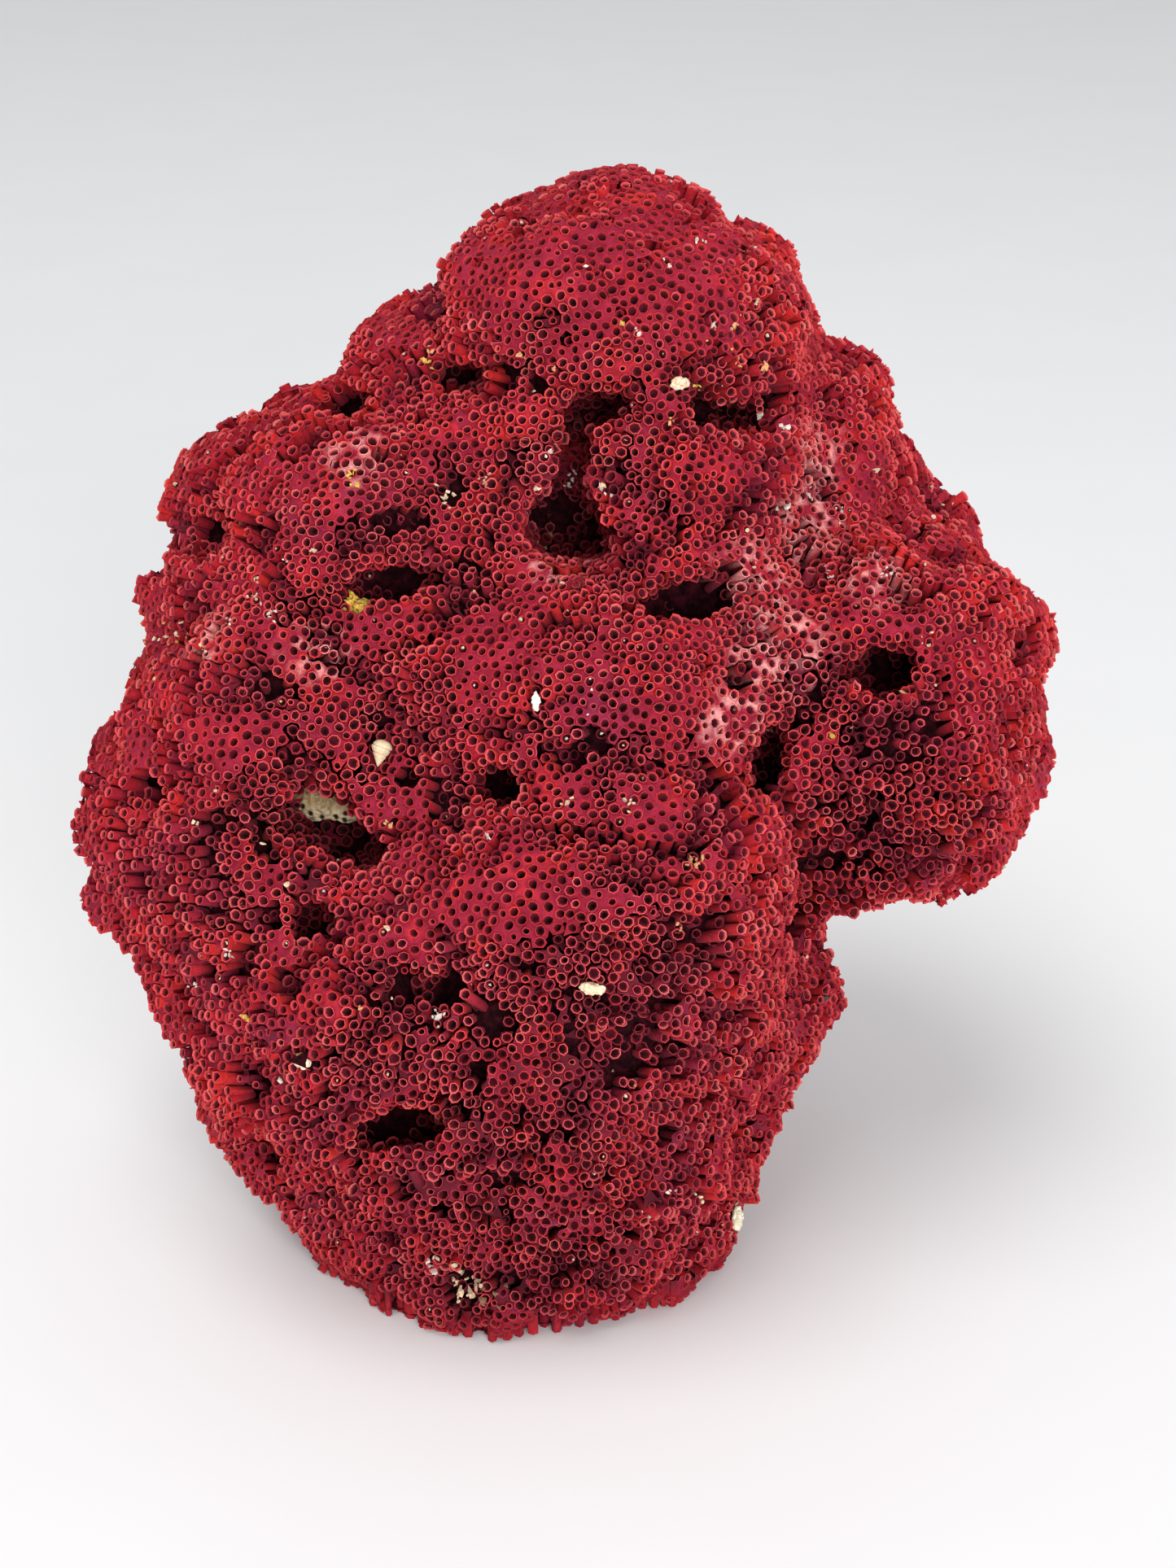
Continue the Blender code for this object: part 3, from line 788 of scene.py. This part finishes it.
def buildPlatforms():
    # Three tubes meet where a skin triangle has a corner nearest to each.
    # That is a platform's corner.
    trio = owner[skinTriangles]
    apart = (trio[:, 0] != trio[:, 1]) & (trio[:, 1] != trio[:, 2]) & (trio[:, 2] != trio[:, 0])
    trio, where = trio[apart], skin[skinTriangles[apart]].mean(1)
    order = np.argsort(trio, axis=1)
    trio = np.take_along_axis(trio, order, axis=1)
    trio, first = np.unique(trio, axis=0, return_index=True)
    where = where[first]

    # Corners of tubes whose platforms lie level are shared, and others break into a ledge.
    layer = layered[trio].mean(1)
    middle = height[trio].mean(1)
    levels = platformLevel[trio] + layer[:, None] * (height[trio] - middle[:, None]) / mm
    levels = np.where(bare[trio] | missing[trio], np.nan, levels)
    sortable = np.where(np.isnan(levels), 1000 + np.arange(3) * 100, levels)
    order = np.argsort(sortable, axis=1)
    ranked = np.take_along_axis(sortable, order, axis=1)
    steps = np.cumsum(np.diff(ranked, axis=1) > 0.55, axis=1)
    group = np.zeros(trio.shape, int)
    steps = np.concatenate([np.zeros((len(trio), 1), int), steps], axis=1)
    np.put_along_axis(group, order, steps, axis=1)
    cells = trio.ravel()
    corner = np.repeat(np.arange(len(trio)), 3)
    key = corner * 3 + group.ravel()
    level = levels.ravel()
    has = ~np.isnan(level)
    cells, corner, key, level = cells[has], corner[has], key[has], level[has]
    keys, vertex = np.unique(key, return_inverse=True)
    shares = np.bincount(vertex)
    meanLevel = np.bincount(vertex, level) / shares
    meanSeed = sumsBy(vertex, seeds[cells]) / shares[:, None]
    meanGrowth = unit(sumsBy(vertex, axis[cells]))
    spot = where[keys // 3]
    meanLevel += layer[keys // 3] * (middle[keys // 3] - layerHeight(spot)) / mm
    ragged = np.where(shares == 3, 0.0, np.where(shares == 2, 0.16, 0.30))
    ragged = ragged * (1 + 0.6 * chance.normal(size=len(ragged)))
    points = spot + (meanSeed - spot) * ragged[:, None]
    rise = meanLevel + 0.11 * chance.normal(size=len(meanLevel))
    points = points + meanGrowth * (rise * mm)[:, None]
    tones = np.bincount(vertex, tone[cells]) / shares
    # ragged ledge edges also take the lips' painted highlight
    edge = np.where(shares == 3, 0.0, 0.93)
    # painted shade: the lower a platform lies, the darker
    sunk = np.clip(-meanLevel / 9, 0, 0.3)
    look = lookOf(edge, sunk, 1.0, tones)

    # each tube's corners in order round its axis
    toward = points[vertex] - seeds[cells]
    angle = np.arctan2((toward * sideB[cells]).sum(1), (toward * sideA[cells]).sum(1))
    order = np.lexsort((angle, cells))
    cells, vertex, angle = cells[order], vertex[order], angle[order]
    starts = np.flatnonzero(np.r_[True, cells[1:] != cells[:-1]])
    ends = np.r_[starts[1:], len(cells)]

    rims, rimLook, triangles, owners = [], [], [], []
    base = len(points)
    for start, end in zip(starts.tolist(), ends.tolist()):
        if end - start < 3:
            continue
        cell = int(cells[start])
        around = angle[start:end]
        gap = np.diff(np.r_[around, around[0] + 2 * math.pi])
        if gap.max() > 2.8:
            continue
        sides = tubePlan["backSides"] if behind[cell] else tubePlan["sides"]
        ringAngles = np.arange(sides) * (2 * math.pi / sides) - math.pi
        rims.append((cell, sides, ringAngles))
        outerIds = vertex[start:end].tolist()
        outerAngles = around.tolist()
        inner = ringAngles.tolist()
        i = j = 0
        m, n = len(outerIds), sides
        while i < m or j < n:
            nextOuter = outerAngles[i] if i < m else 10.0
            nextInner = inner[j] if j < n else 10.0
            if nextOuter <= nextInner:
                triangles.append((outerIds[i], outerIds[(i + 1) % m], base + j % n))
                i += 1
            else:
                triangles.append((outerIds[i % m], base + (j + 1) % n, base + j))
                j += 1
            owners.append(cell)
        base += sides
    rimPoints, rimLooks = [], []
    for cell, sides, ringAngles in rims:
        if flush[cell]:
            rimPoints.append(lips[cell, :sides])
        else:
            spread = np.cos(ringAngles)[:, None] * sideA[cell]
            spread += np.sin(ringAngles)[:, None] * sideB[cell]
            centre = seeds[cell] + axis[cell] * platformLevel[cell] * mm
            rimPoints.append(centre + spread * (radius[cell] * 0.98 * mm))
        # painted shade on sunk platforms, as at their corners
        sunkHere = float(np.clip(-platformLevel[cell] / 9, 0, 0.3))
        rimLooks.append(np.tile([0.0, sunkHere, 1.0, tone[cell]], (sides, 1)))
    allPoints = np.concatenate([points, *rimPoints])
    allLook = np.concatenate([look, *rimLooks])
    addToCloud(allPoints, allLook, np.array(triangles), np.array(owners))


flush = flushTubes()
for part, sides in ((~behind, tubePlan["sides"]), (behind, tubePlan["backSides"])):
    buildTubes(np.flatnonzero(part & ~missing & ~flush), sides, True)
    buildTubes(np.flatnonzero(part & flush), sides, False)
buildPlatforms()
print("tubes flush with their platform:", int(flush.sum()))
points = np.concatenate(cloud["points"])
look = np.concatenate(cloud["look"])
triangles = np.concatenate(cloud["triangles"])
triangleOwner = np.concatenate(cloud["owner"])
points[:, 2] = np.maximum(points[:, 2], 0.02 * mm)
pointOwner = np.zeros(len(points), int)
pointOwner[triangles.ravel()] = np.repeat(triangleOwner, 3)
# per point: bleaching, purple of age deepened by painted shade, brighter red partly painted light,
# and the strength of the rims' painted highlight
pale = spotShare(seeds, bleachedSpots)[pointOwner]
pale = pale * smoothStep(noiseAt(points, 2.2, (4, 4, 1)), -0.25, 0.40)
wear = np.stack([pale, purple[pointOwner], bright[pointOwner], rimLight[pointOwner]], 1)
# painted shade for each point
dusk = np.stack([shade[pointOwner]] * 3 + [np.ones(len(points))], 1)
print("triangles:", len(triangles))

# Named regions of the colony, each its own piece.
regions = {
    "crown_tubes": (0.008, 0.020, 0.178),
    "shoulder_tubes": (-0.048, 0.000, 0.140),
    "ear_tubes": (0.062, 0.004, 0.112),
    "belly_tubes": (-0.020, -0.050, 0.092),
    "foot_tubes": (-0.010, -0.030, 0.020),
    "back_left_tubes": (-0.040, 0.050, 0.080),
    "back_right_tubes": (0.035, 0.058, 0.100),
}
coralMaterial = coralFinish()
regionOf = np.argmin(
    np.linalg.norm(seeds[:, None] - np.array(list(regions.values()))[None], axis=2), axis=1
)
for number, name in enumerate(regions):
    chosen = regionOf[triangleOwner] == number
    used, renumbered = np.unique(triangles[chosen], return_inverse=True)
    layers = {"look": look[used], "wear": wear[used], "dusk": dusk[used]}
    mesh = newMesh(name, points[used], renumbered.reshape(-1, 3), layers)
    addPiece(name, mesh, coralMaterial, ("coral_colony",) if number == 0 else ())
    print(name, int(chosen.sum()), "triangles")


# A dark sheet of painted shade under the tubes, closing the view between them

corePlan = {
    "rounds": 5,  # softens the solid's relief
    "depth": 6.0 * mm,
    "share": 0.42,  # of the coral's own thickness, where that is less
    "depthRounds": 4,
    "lowest": 3 * mm,  # above the cut
}


def shadeSheetFinish():
    finish = Finish("coralShadeSheet")
    grain = finish.noise(1.6, 4, 0.6)
    # near black: painted shade deep between the tubes
    colour = finish.mix((0.008, 0.002, 0.003), (0.050, 0.005, 0.010), grain.smooth(0.35, 0.75))
    finish.set(Base_Color=colour, Roughness=0.9, Specular_IOR_Level=0.05)
    finish.bump(grain, 0.8)
    return finish.material


def coreMesh():
    # the solid itself, softened and drawn in under the tubes
    welded = meshOf(weldedCopy(colony.data), "welded")
    places, faces = meshArrays(welded)
    bpy.data.meshes.remove(welded)
    edges = edgesOf(faces)
    places = relaxed(places, edges, corePlan["rounds"])
    inward = -normalsOf(places, faces)
    shell = BVHTree.FromPolygons(places.tolist(), faces.tolist())
    depth = np.full((len(places), 1), corePlan["depth"])
    for index, (place, way) in enumerate(zip(places, inward)):
        far = shell.ray_cast(Vector(place + way * 0.5 * mm), Vector(way))[3]
        depth[index] = min(corePlan["depth"], corePlan["share"] * (far or 1.0))
    places = places + inward * relaxed(depth, edges, corePlan["depthRounds"])
    places[:, 2] = np.maximum(places[:, 2], corePlan["lowest"])
    return newMesh("coral_shade_sheet", places, faces)


addPiece("coral_shade_sheet", coreMesh(), shadeSheetFinish(), (), 80)


# Small things lodged in the coral


def lumpMesh(name, node, subdivisions, depth, grain, offset=(0, 0, 0)):
    # the solid of the node, made finer and roughened outwards from its own faces
    bm = weldedCopy(node.data)
    bmesh.ops.subdivide_edges(
        bm, edges=bm.edges, cuts=subdivisions, use_grid_fill=True, smooth=0.6
    )
    bmesh.ops.triangulate(bm, faces=bm.faces)
    bm.normal_update()
    for vert in bm.verts:
        spot = vert.co / (grain * mm) + Vector(offset)
        rough = noise.fractal(spot, 1.0, 2.1, 4)
        vert.co += vert.normal * (rough * depth * mm - 0.3 * depth * mm)
    return meshOf(bm, name)


def speckled(name, dark, light, fleck, size, roughness=0.6, pits=0.25):
    finish = Finish(name)
    grain = finish.noise(size, 4, 0.65)
    cells = finish.cells(size * 0.8)
    colour = finish.mix(dark, light, grain.smooth(0.34, 0.62))
    colour = finish.mix(colour, fleck, finish.noise(size * 2.2, 2).smooth(0.56, 0.68))
    finish.set(Base_Color=colour, Roughness=roughness + grain * 0.25, Specular_IOR_Level=0.4)
    finish.bump(grain * 0.7 + cells * 0.5, pits)
    return finish.material


snailPlan = {
    "rings": 64,
    "sides": 44,
    "widest": 0.70,  # where along the shell it is widest, from the point
    "whorl": 0.42,  # each whorl's growth, as a natural logarithm
    "seam": 0.09,  # depth of the spiral seam, of the shell's radius there
    "seamWidth": 0.11,
    "opening": (0.80, 5.3, 0.55),  # place along the shell, turn in radians, depth
}


def snailMesh(node):
    # a plump cone with a spiral seam that fills the solid, its point where the solid's is
    plan = snailPlan
    solid, _ = meshArrays(node.data)
    middle = solid.mean(0)
    point = solid[np.argmax(np.linalg.norm(solid - middle, axis=1))]
    rise = unit(middle - point)
    along = (solid - point) @ rise
    wide = np.linalg.norm(solid - point - along[:, None] * rise, axis=1).max()
    across = unit(np.cross(rise, (0.3, 0.9, 0.2)))
    other = np.cross(rise, across)
    step = np.linspace(0.02, 0.995, plan["rings"])[:, None]
    around = np.arange(plan["sides"])[None] * 2 * math.pi / plan["sides"]
    dome = np.clip((step - plan["widest"]) / (1 - plan["widest"]), 0, 1)
    cone = (step / plan["widest"]) ** 0.85
    profile = np.where(step < plan["widest"], cone, np.sqrt(1 - dome**2))
    phase = np.log(step) / plan["whorl"] + around / (2 * math.pi)
    seam = np.exp(-(((phase % 1) - 0.5) / plan["seamWidth"]) ** 2)
    place, turn, depth = plan["opening"]
    opening = 1 - smoothStep(np.hypot((step - place) / 0.16, (around - turn) / 0.8), 0.6, 1.0)
    reach = wide * profile * (1 - plan["seam"] * seam - depth * opening)
    points = (
        point
        + rise * (along.max() * step + 0 * around)[..., None]
        + across * (reach * np.cos(around))[..., None]
        + other * (reach * np.sin(around))[..., None]
    ).reshape(-1, 3)
    rings, sides = plan["rings"], plan["sides"]
    i, k = np.meshgrid(np.arange(rings - 1), np.arange(sides), indexing="ij")
    a, b = i * sides + k, i * sides + (k + 1) % sides
    c, d = a + sides, b + sides
    walls = np.stack([np.stack([a, b, c], -1), np.stack([b, d, c], -1)]).reshape(-1, 3)
    last = len(points) - sides
    points = np.concatenate([points, [point], [point + rise * along.max()]])
    k = np.arange(sides)
    tip = np.stack([(k + 1) % sides, k, np.full(sides, last + sides)], 1)
    top = np.stack([last + k, last + (k + 1) % sides, np.full(sides, last + sides + 1)], 1)
    look = np.zeros((len(points), 4))
    look[: last + sides, 0] = seam.ravel()
    look[: last + sides, 1] = opening.ravel()
    return newMesh("snail_shell_whorls", points, np.concatenate([walls, tip, top]), {"look": look})


def snailFinish():
    finish = Finish("snailShell")
    seam, insideShade, _, _ = finish.channels("look")
    grain = finish.noise(0.35, 4, 0.6)
    colour = finish.mix((0.62, 0.45, 0.26), (0.80, 0.66, 0.45), grain.smooth(0.3, 0.7))
    colour = finish.mix(colour, (0.34, 0.19, 0.10), seam.smooth(0.55, 1.0) * 0.6)
    # painted shade in the shell's opening
    colour = finish.mix(colour, (0.05, 0.02, 0.02), insideShade.smooth(0.3, 0.9))
    finish.set(Base_Color=colour, Roughness=0.38 + grain * 0.3, Coat_Weight=0.1)
    finish.bump(grain, 0.04)
    return finish.material


crustPlan = {
    "holes": 11,  # along its lower edge
    "holeRadius": 0.68,
    "holeDepth": 1.4,
    "rough": 0.55,
}


def crustMesh(node):
    # an old domed crust with a row of pits along its lower edge
    mesh = lumpMesh("crust_lump_rough", node, 9, crustPlan["rough"], 1.4)
    points, _ = meshArrays(mesh)
    centre = (points.min(0) + points.max(0)) / 2
    right, up, toEye = np.array(eyeRight), np.array(eyeUp), -np.array(eyeForward)
    halfWide = np.abs((points - centre) @ right).max()
    halfHigh = np.abs((points - centre) @ up).max()
    pits = np.zeros(len(points))
    for number in range(crustPlan["holes"]):
        angle = math.radians(200 + 140 * number / (crustPlan["holes"] - 1))
        angle += 0.06 * chance.normal()
        reach = 0.66 + 0.20 * (number % 2)
        spot = np.array([math.cos(angle) * halfWide, math.sin(angle) * halfHigh]) * reach
        away = np.hypot((points - centre) @ right - spot[0], (points - centre) @ up - spot[1])
        share = 1 - smoothStep(away / (crustPlan["holeRadius"] * mm), 0.35, 1.0)
        pits = np.maximum(pits, share * ((points - centre) @ toEye > 0))
    sunk = points - np.array([toEye]) * (pits * crustPlan["holeDepth"] * mm)[:, None]
    mesh.vertices.foreach_set("co", sunk.astype(np.float32).ravel())
    low = smoothStep(-((points - centre) @ up) / halfHigh, 0.0, 0.8)
    look = np.stack([pits, low, pits * 0, pits * 0 + 1], 1)
    addColours(mesh, "look", look)
    return mesh


def crustFinish():
    finish = Finish("oldCrust")
    pits, low, _, _ = finish.channels("look")
    grain = finish.noise(0.7, 4, 0.65)
    colour = finish.mix((0.25, 0.16, 0.075), (0.50, 0.35, 0.18), grain.smooth(0.34, 0.66))
    colour = finish.mix(colour, (0.86, 0.70, 0.46), (low * (0.25 + grain * 0.9)).clamped())
    colour = finish.mix(colour, (0.22, 0.05, 0.05), finish.noise(2.0, 2).smooth(0.60, 0.72) * 0.6)
    # painted shade in the pits
    colour = finish.mix(colour, (0.02, 0.015, 0.01), pits.smooth(0.15, 0.8))
    finish.set(Base_Color=colour, Roughness=0.65 + grain * 0.3, Specular_IOR_Level=0.3)
    finish.bump(grain, 0.3)
    return finish.material


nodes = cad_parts
snail = snailMesh(nodes["snail_shell"])
addPiece("snail_shell_whorls", snail, snailFinish(), ("snail_shell",))
crust = crustMesh(nodes["crust_lump"])
addPiece("crust_lump_rough", crust, crustFinish(), ("crust_lump",), 80)
yellow = lumpMesh("yellow_crumb_rough", nodes["yellow_crumb"], 5, 2.2, 1.9, (3, 1, 4))
yellowColours = ((0.70, 0.36, 0.03), (0.95, 0.66, 0.12), (0.95, 0.82, 0.42))
yellowMaterial = speckled("yellowCrumb", *yellowColours, 0.6, 0.6, 0.3)
addPiece("yellow_crumb_rough", yellow, yellowMaterial, ("yellow_crumb",), 80)
chipColours = {  # dark, light and fleck
    "shell_chip_1": ((0.62, 0.36, 0.20), (0.84, 0.66, 0.46), (0.90, 0.84, 0.72)),
    "shell_chip_2": ((0.66, 0.48, 0.27), (0.84, 0.71, 0.48), (0.90, 0.82, 0.62)),
    "shell_chip_3": ((0.66, 0.42, 0.26), (0.86, 0.70, 0.52), (0.90, 0.84, 0.74)),
    "shell_chip_4": ((0.60, 0.52, 0.34), (0.84, 0.78, 0.60), (0.88, 0.86, 0.78)),
    "shell_chip_5": ((0.74, 0.68, 0.58), (0.90, 0.87, 0.80), (0.82, 0.66, 0.52)),
}
for number, (name, colours) in enumerate(chipColours.items()):
    chip = lumpMesh(name + "_rough", nodes[name], 4, 0.35, 0.8, (number * 7, 2, 5))
    chipMaterial = speckled(name + "Look", *colours, 0.5, 0.5, 0.15)
    addPiece(name + "_rough", chip, chipMaterial, (name,), 80)

# Crumbs of shell and sand: pixel of the photograph, how many, spread in mm, largest in mm, kind
pixelsPerMm = 6.35
looseGrit = 260  # crumbs that lie anywhere
gritColours = {
    "cream": (0.80, 0.66, 0.46), "white": (0.86, 0.82, 0.76), "orange": (0.74, 0.40, 0.18),
    "yellow": (0.70, 0.46, 0.08), "brown": (0.26, 0.15, 0.08), "grey": (0.05, 0.06, 0.07),
}
gritSpots = [
    (525, 445, 4, 0.8, 1.3, "yellow"), (528, 432, 3, 0.8, 0.9, "orange"),
    (550, 610, 9, 1.8, 0.9, "cream"), (600, 590, 4, 1.2, 0.7, "cream"),
    (430, 582, 7, 1.6, 0.9, "yellow"), (312, 714, 4, 1.0, 0.9, "cream"),
    (647, 633, 3, 0.4, 1.5, "white"), (590, 410, 3, 1.0, 0.8, "white"),
    (640, 440, 3, 1.2, 0.9, "orange"), (820, 325, 2, 0.8, 0.8, "white"),
    (868, 300, 2, 0.8, 0.7, "cream"), (785, 413, 3, 0.7, 0.9, "white"),
    (962, 622, 3, 0.8, 1.2, "white"), (1030, 626, 6, 2.2, 0.8, "white"),
    (1078, 578, 2, 0.4, 1.2, "cream"), (1090, 702, 7, 2.0, 0.9, "white"),
    (1106, 851, 4, 0.7, 1.3, "orange"), (1025, 905, 3, 0.5, 1.3, "yellow"),
    (945, 888, 3, 0.9, 1.3, "cream"), (772, 988, 7, 1.6, 0.9, "cream"),
    (852, 1062, 9, 1.9, 0.9, "orange"), (535, 1240, 8, 1.3, 1.0, "white"),
    (372, 1306, 9, 1.2, 1.3, "orange"), (298, 1252, 4, 0.7, 1.1, "yellow"),
    (342, 1328, 3, 0.5, 1.0, "white"), (570, 1580, 26, 3.6, 1.3, "cream"),
    (528, 1558, 7, 1.6, 1.2, "white"), (600, 1600, 10, 2.6, 1.2, "brown"),
    (835, 1150, 4, 1.2, 0.8, "orange"), (478, 1012, 4, 0.9, 0.9, "orange"),
    (232, 1214, 4, 0.9, 1.0, "white"), (600, 1032, 2, 0.4, 1.1, "white"),
    (688, 714, 3, 0.8, 0.8, "cream"), (700, 590, 8, 1.6, 1.0, "white"),
    (670, 660, 9, 2.2, 1.2, "brown"), (740, 600, 5, 1.4, 0.9, "white"),
    (1026, 1232, 5, 1.2, 1.7, "grey"), (862, 1478, 3, 1.0, 1.0, "cream"),
    (912, 1490, 6, 1.4, 1.3, "cream"), (280, 768, 3, 0.8, 0.9, "white"),
    (352, 688, 3, 1.0, 0.8, "white"), (385, 676, 2, 0.6, 1.1, "cream"),
    (700, 985, 4, 1.4, 0.8, "cream"), (412, 1330, 2, 0.5, 0.9, "orange"),
    (240, 1012, 3, 0.9, 0.9, "cream"), (205, 780, 6, 2.4, 0.9, "cream"),
    (190, 830, 5, 2.4, 0.8, "orange"), (250, 800, 5, 1.6, 0.9, "cream"),
    (222, 782, 9, 2.6, 0.8, "yellow"), (316, 736, 6, 1.4, 0.9, "cream"),
    (334, 758, 5, 1.2, 0.9, "white"), (1015, 705, 4, 1.6, 0.8, "white"),
    (990, 610, 5, 2.4, 0.8, "white"), (930, 690, 3, 1.4, 0.7, "cream"),
    (1160, 620, 5, 5.0, 0.7, "cream"), (900, 400, 6, 6.0, 0.7, "orange"),
    (720, 860, 3, 3.0, 0.6, "white"), (873, 400, 2, 0.5, 1.1, "white"),
    (902, 403, 4, 1.0, 0.9, "orange"), (719, 329, 2, 0.4, 1.0, "white"),
    (936, 451, 5, 1.0, 1.0, "orange"), (862, 480, 4, 0.8, 0.9, "yellow"),
    (683, 453, 3, 0.5, 1.1, "orange"), (936, 507, 2, 0.4, 1.3, "white"),
    (962, 527, 4, 0.9, 1.1, "white"), (737, 597, 2, 0.4, 1.4, "cream"),
    (600, 594, 6, 1.3, 1.1, "cream"), (658, 597, 2, 0.4, 1.3, "cream"),
    (679, 553, 2, 0.4, 1.1, "white"), (826, 516, 3, 0.8, 1.0, "orange"),
    (924, 368, 3, 0.7, 0.9, "cream"), (910, 443, 3, 0.8, 0.9, "orange"),
    (351, 1089, 2, 0.4, 1.2, "cream"), (281, 1172, 5, 1.0, 1.0, "white"),
    (443, 1238, 3, 0.7, 0.9, "orange"), (765, 400, 3, 0.6, 1.0, "yellow"),
    (855, 298, 2, 0.5, 0.9, "white"), (475, 1142, 2, 0.5, 0.9, "cream"),
    (1140, 780, 4, 2.2, 0.7, "cream"), (1180, 960, 3, 2.0, 0.7, "cream"),
    (830, 1460, 3, 1.6, 0.7, "white"),
]


def gritMesh():
    bm = bmesh.new()
    bmesh.ops.create_icosphere(bm, subdivisions=1, radius=1.0)
    unitPoints = np.array([vert.co[:] for vert in bm.verts])
    unitTriangles = np.array([[vert.index for vert in face.verts] for face in bm.faces])
    bm.free()
    places, sizes, colours = [], [], []
    for x, y, count, spread, largest, kind in gritSpots:
        for _ in range(count):
            shiftX, shiftY = chance.normal(size=2) * spread * pixelsPerMm * 0.5
            spot = photoSpot(x + shiftX, y + shiftY)
            if spot is not None:
                places.append(spot)
                sizes.append(largest * chance.uniform(0.55, 1.2))
                colours.append(np.array(gritColours[kind]) * chance.uniform(0.75, 1.1))
    for index in chance.choice(tubeCount, looseGrit, replace=False):
        if not onCut[index]:
            places.append(seeds[index])
            sizes.append(chance.uniform(0.35, 0.85))
            kind = chance.choice(["cream", "white", "orange", "brown"], p=[0.4, 0.25, 0.2, 0.15])
            colours.append(np.array(gritColours[kind]) * chance.uniform(0.7, 1.1))
    places, sizes, colours = np.array(places), np.array(sizes), np.array(colours)
    corners = len(unitPoints)
    near = nearestIndex(places, seeds)
    outward = localNormal[near]
    stretch = chance.uniform(0.35, 1.30, (len(places), 1, 3))
    rough = 1 + 0.30 * chance.normal(size=(len(places), corners, 1))
    spin = unit(chance.normal(size=(len(places), 3)))
    other = unit(np.cross(spin, outward))
    third = np.cross(spin, other)
    local = unitPoints[None] * stretch * rough * (sizes * 0.5 * mm)[:, None, None]
    lift = np.clip(np.maximum(mouth[near], platformLevel[near]), -1.2, 0.6) + 0.15
    points = places[:, None] + (outward * lift[:, None] * mm)[:, None]
    points = points + local[..., :1] * spin[:, None] + local[..., 1:2] * other[:, None]
    points = (points + local[..., 2:] * third[:, None]).reshape(-1, 3)
    shifts = (np.arange(len(places)) * corners)[:, None, None]
    faces = (unitTriangles[None] + shifts).reshape(-1, 3)
    look = np.concatenate([np.repeat(colours, corners, 0), np.ones((len(points), 1))], 1)
    return newMesh("shell_grit", points, faces, {"look": look})


def gritFinish():
    finish = Finish("shellGrit")
    own = finish.node("Attribute", {"attribute_name": "look"}, {}, "Color")
    grain = finish.noise(0.3, 3, 0.6)
    mottle = finish.mix((0.55, 0.45, 0.38), (1.15, 1.12, 1.1), grain)
    colour = finish.mix(own, mottle, 1.0, "MULTIPLY")
    finish.set(Base_Color=colour, Roughness=0.5 + grain * 0.35)
    finish.bump(grain, 0.08)
    return finish.material


addPiece("shell_grit", gritMesh(), gritFinish(), (), 30)
print("lodged pieces made")


# Floor, light and camera


def makeFloor():
    bm = bmesh.new()
    bmesh.ops.create_grid(bm, x_segments=1, y_segments=1, size=3.0)
    floor = addObject("floor", meshOf(bm, "floor"))
    paper = Finish("paleFloor")
    mottle = paper.noise(60, 2)
    paper.set(Base_Color=paper.mix((0.84, 0.84, 0.84), (0.87, 0.87, 0.87), mottle), Roughness=0.6)
    floor.data.materials.append(paper.material)


def makeLamp(name, place, aim, power, size):
    lamp = bpy.data.lights.new(name, "AREA")
    lamp.shape, lamp.size, lamp.energy = "DISK", size, power
    obj = addObject(name, lamp)
    obj.location = place
    obj.rotation_euler = (Vector(aim) - Vector(place)).to_track_quat("-Z", "Y").to_euler()


makeFloor()
makeLamp("keyLight", (-0.5, -0.7, 2.3), (0, 0, 0.10), 28, 1.5)
makeLamp("fillLight", (0.6, -2.2, 0.75), (0, 0, 0.06), 46, 1.5)
world = bpy.data.worlds.new("studio")
world.use_nodes = True
background = world.node_tree.nodes["Background"].inputs
background["Color"].default_value = (0.90, 0.91, 0.93, 1)
background["Strength"].default_value = 0.60
bpy.context.scene.world = world
bpy.context.scene.view_settings.view_transform = "Standard"

camera = addObject("camera", bpy.data.cameras.new("camera"))
camera.data.sensor_fit = "VERTICAL"
camera.data.sensor_height = camera.data.sensor_width = view["sensor"]
camera.data.lens = view["lens"]
camera.data.clip_start = 0.01
camera.location = eyePlace
camera.rotation_euler = eyeForward.to_track_quat("-Z", "Y").to_euler()
bpy.context.scene.camera = camera
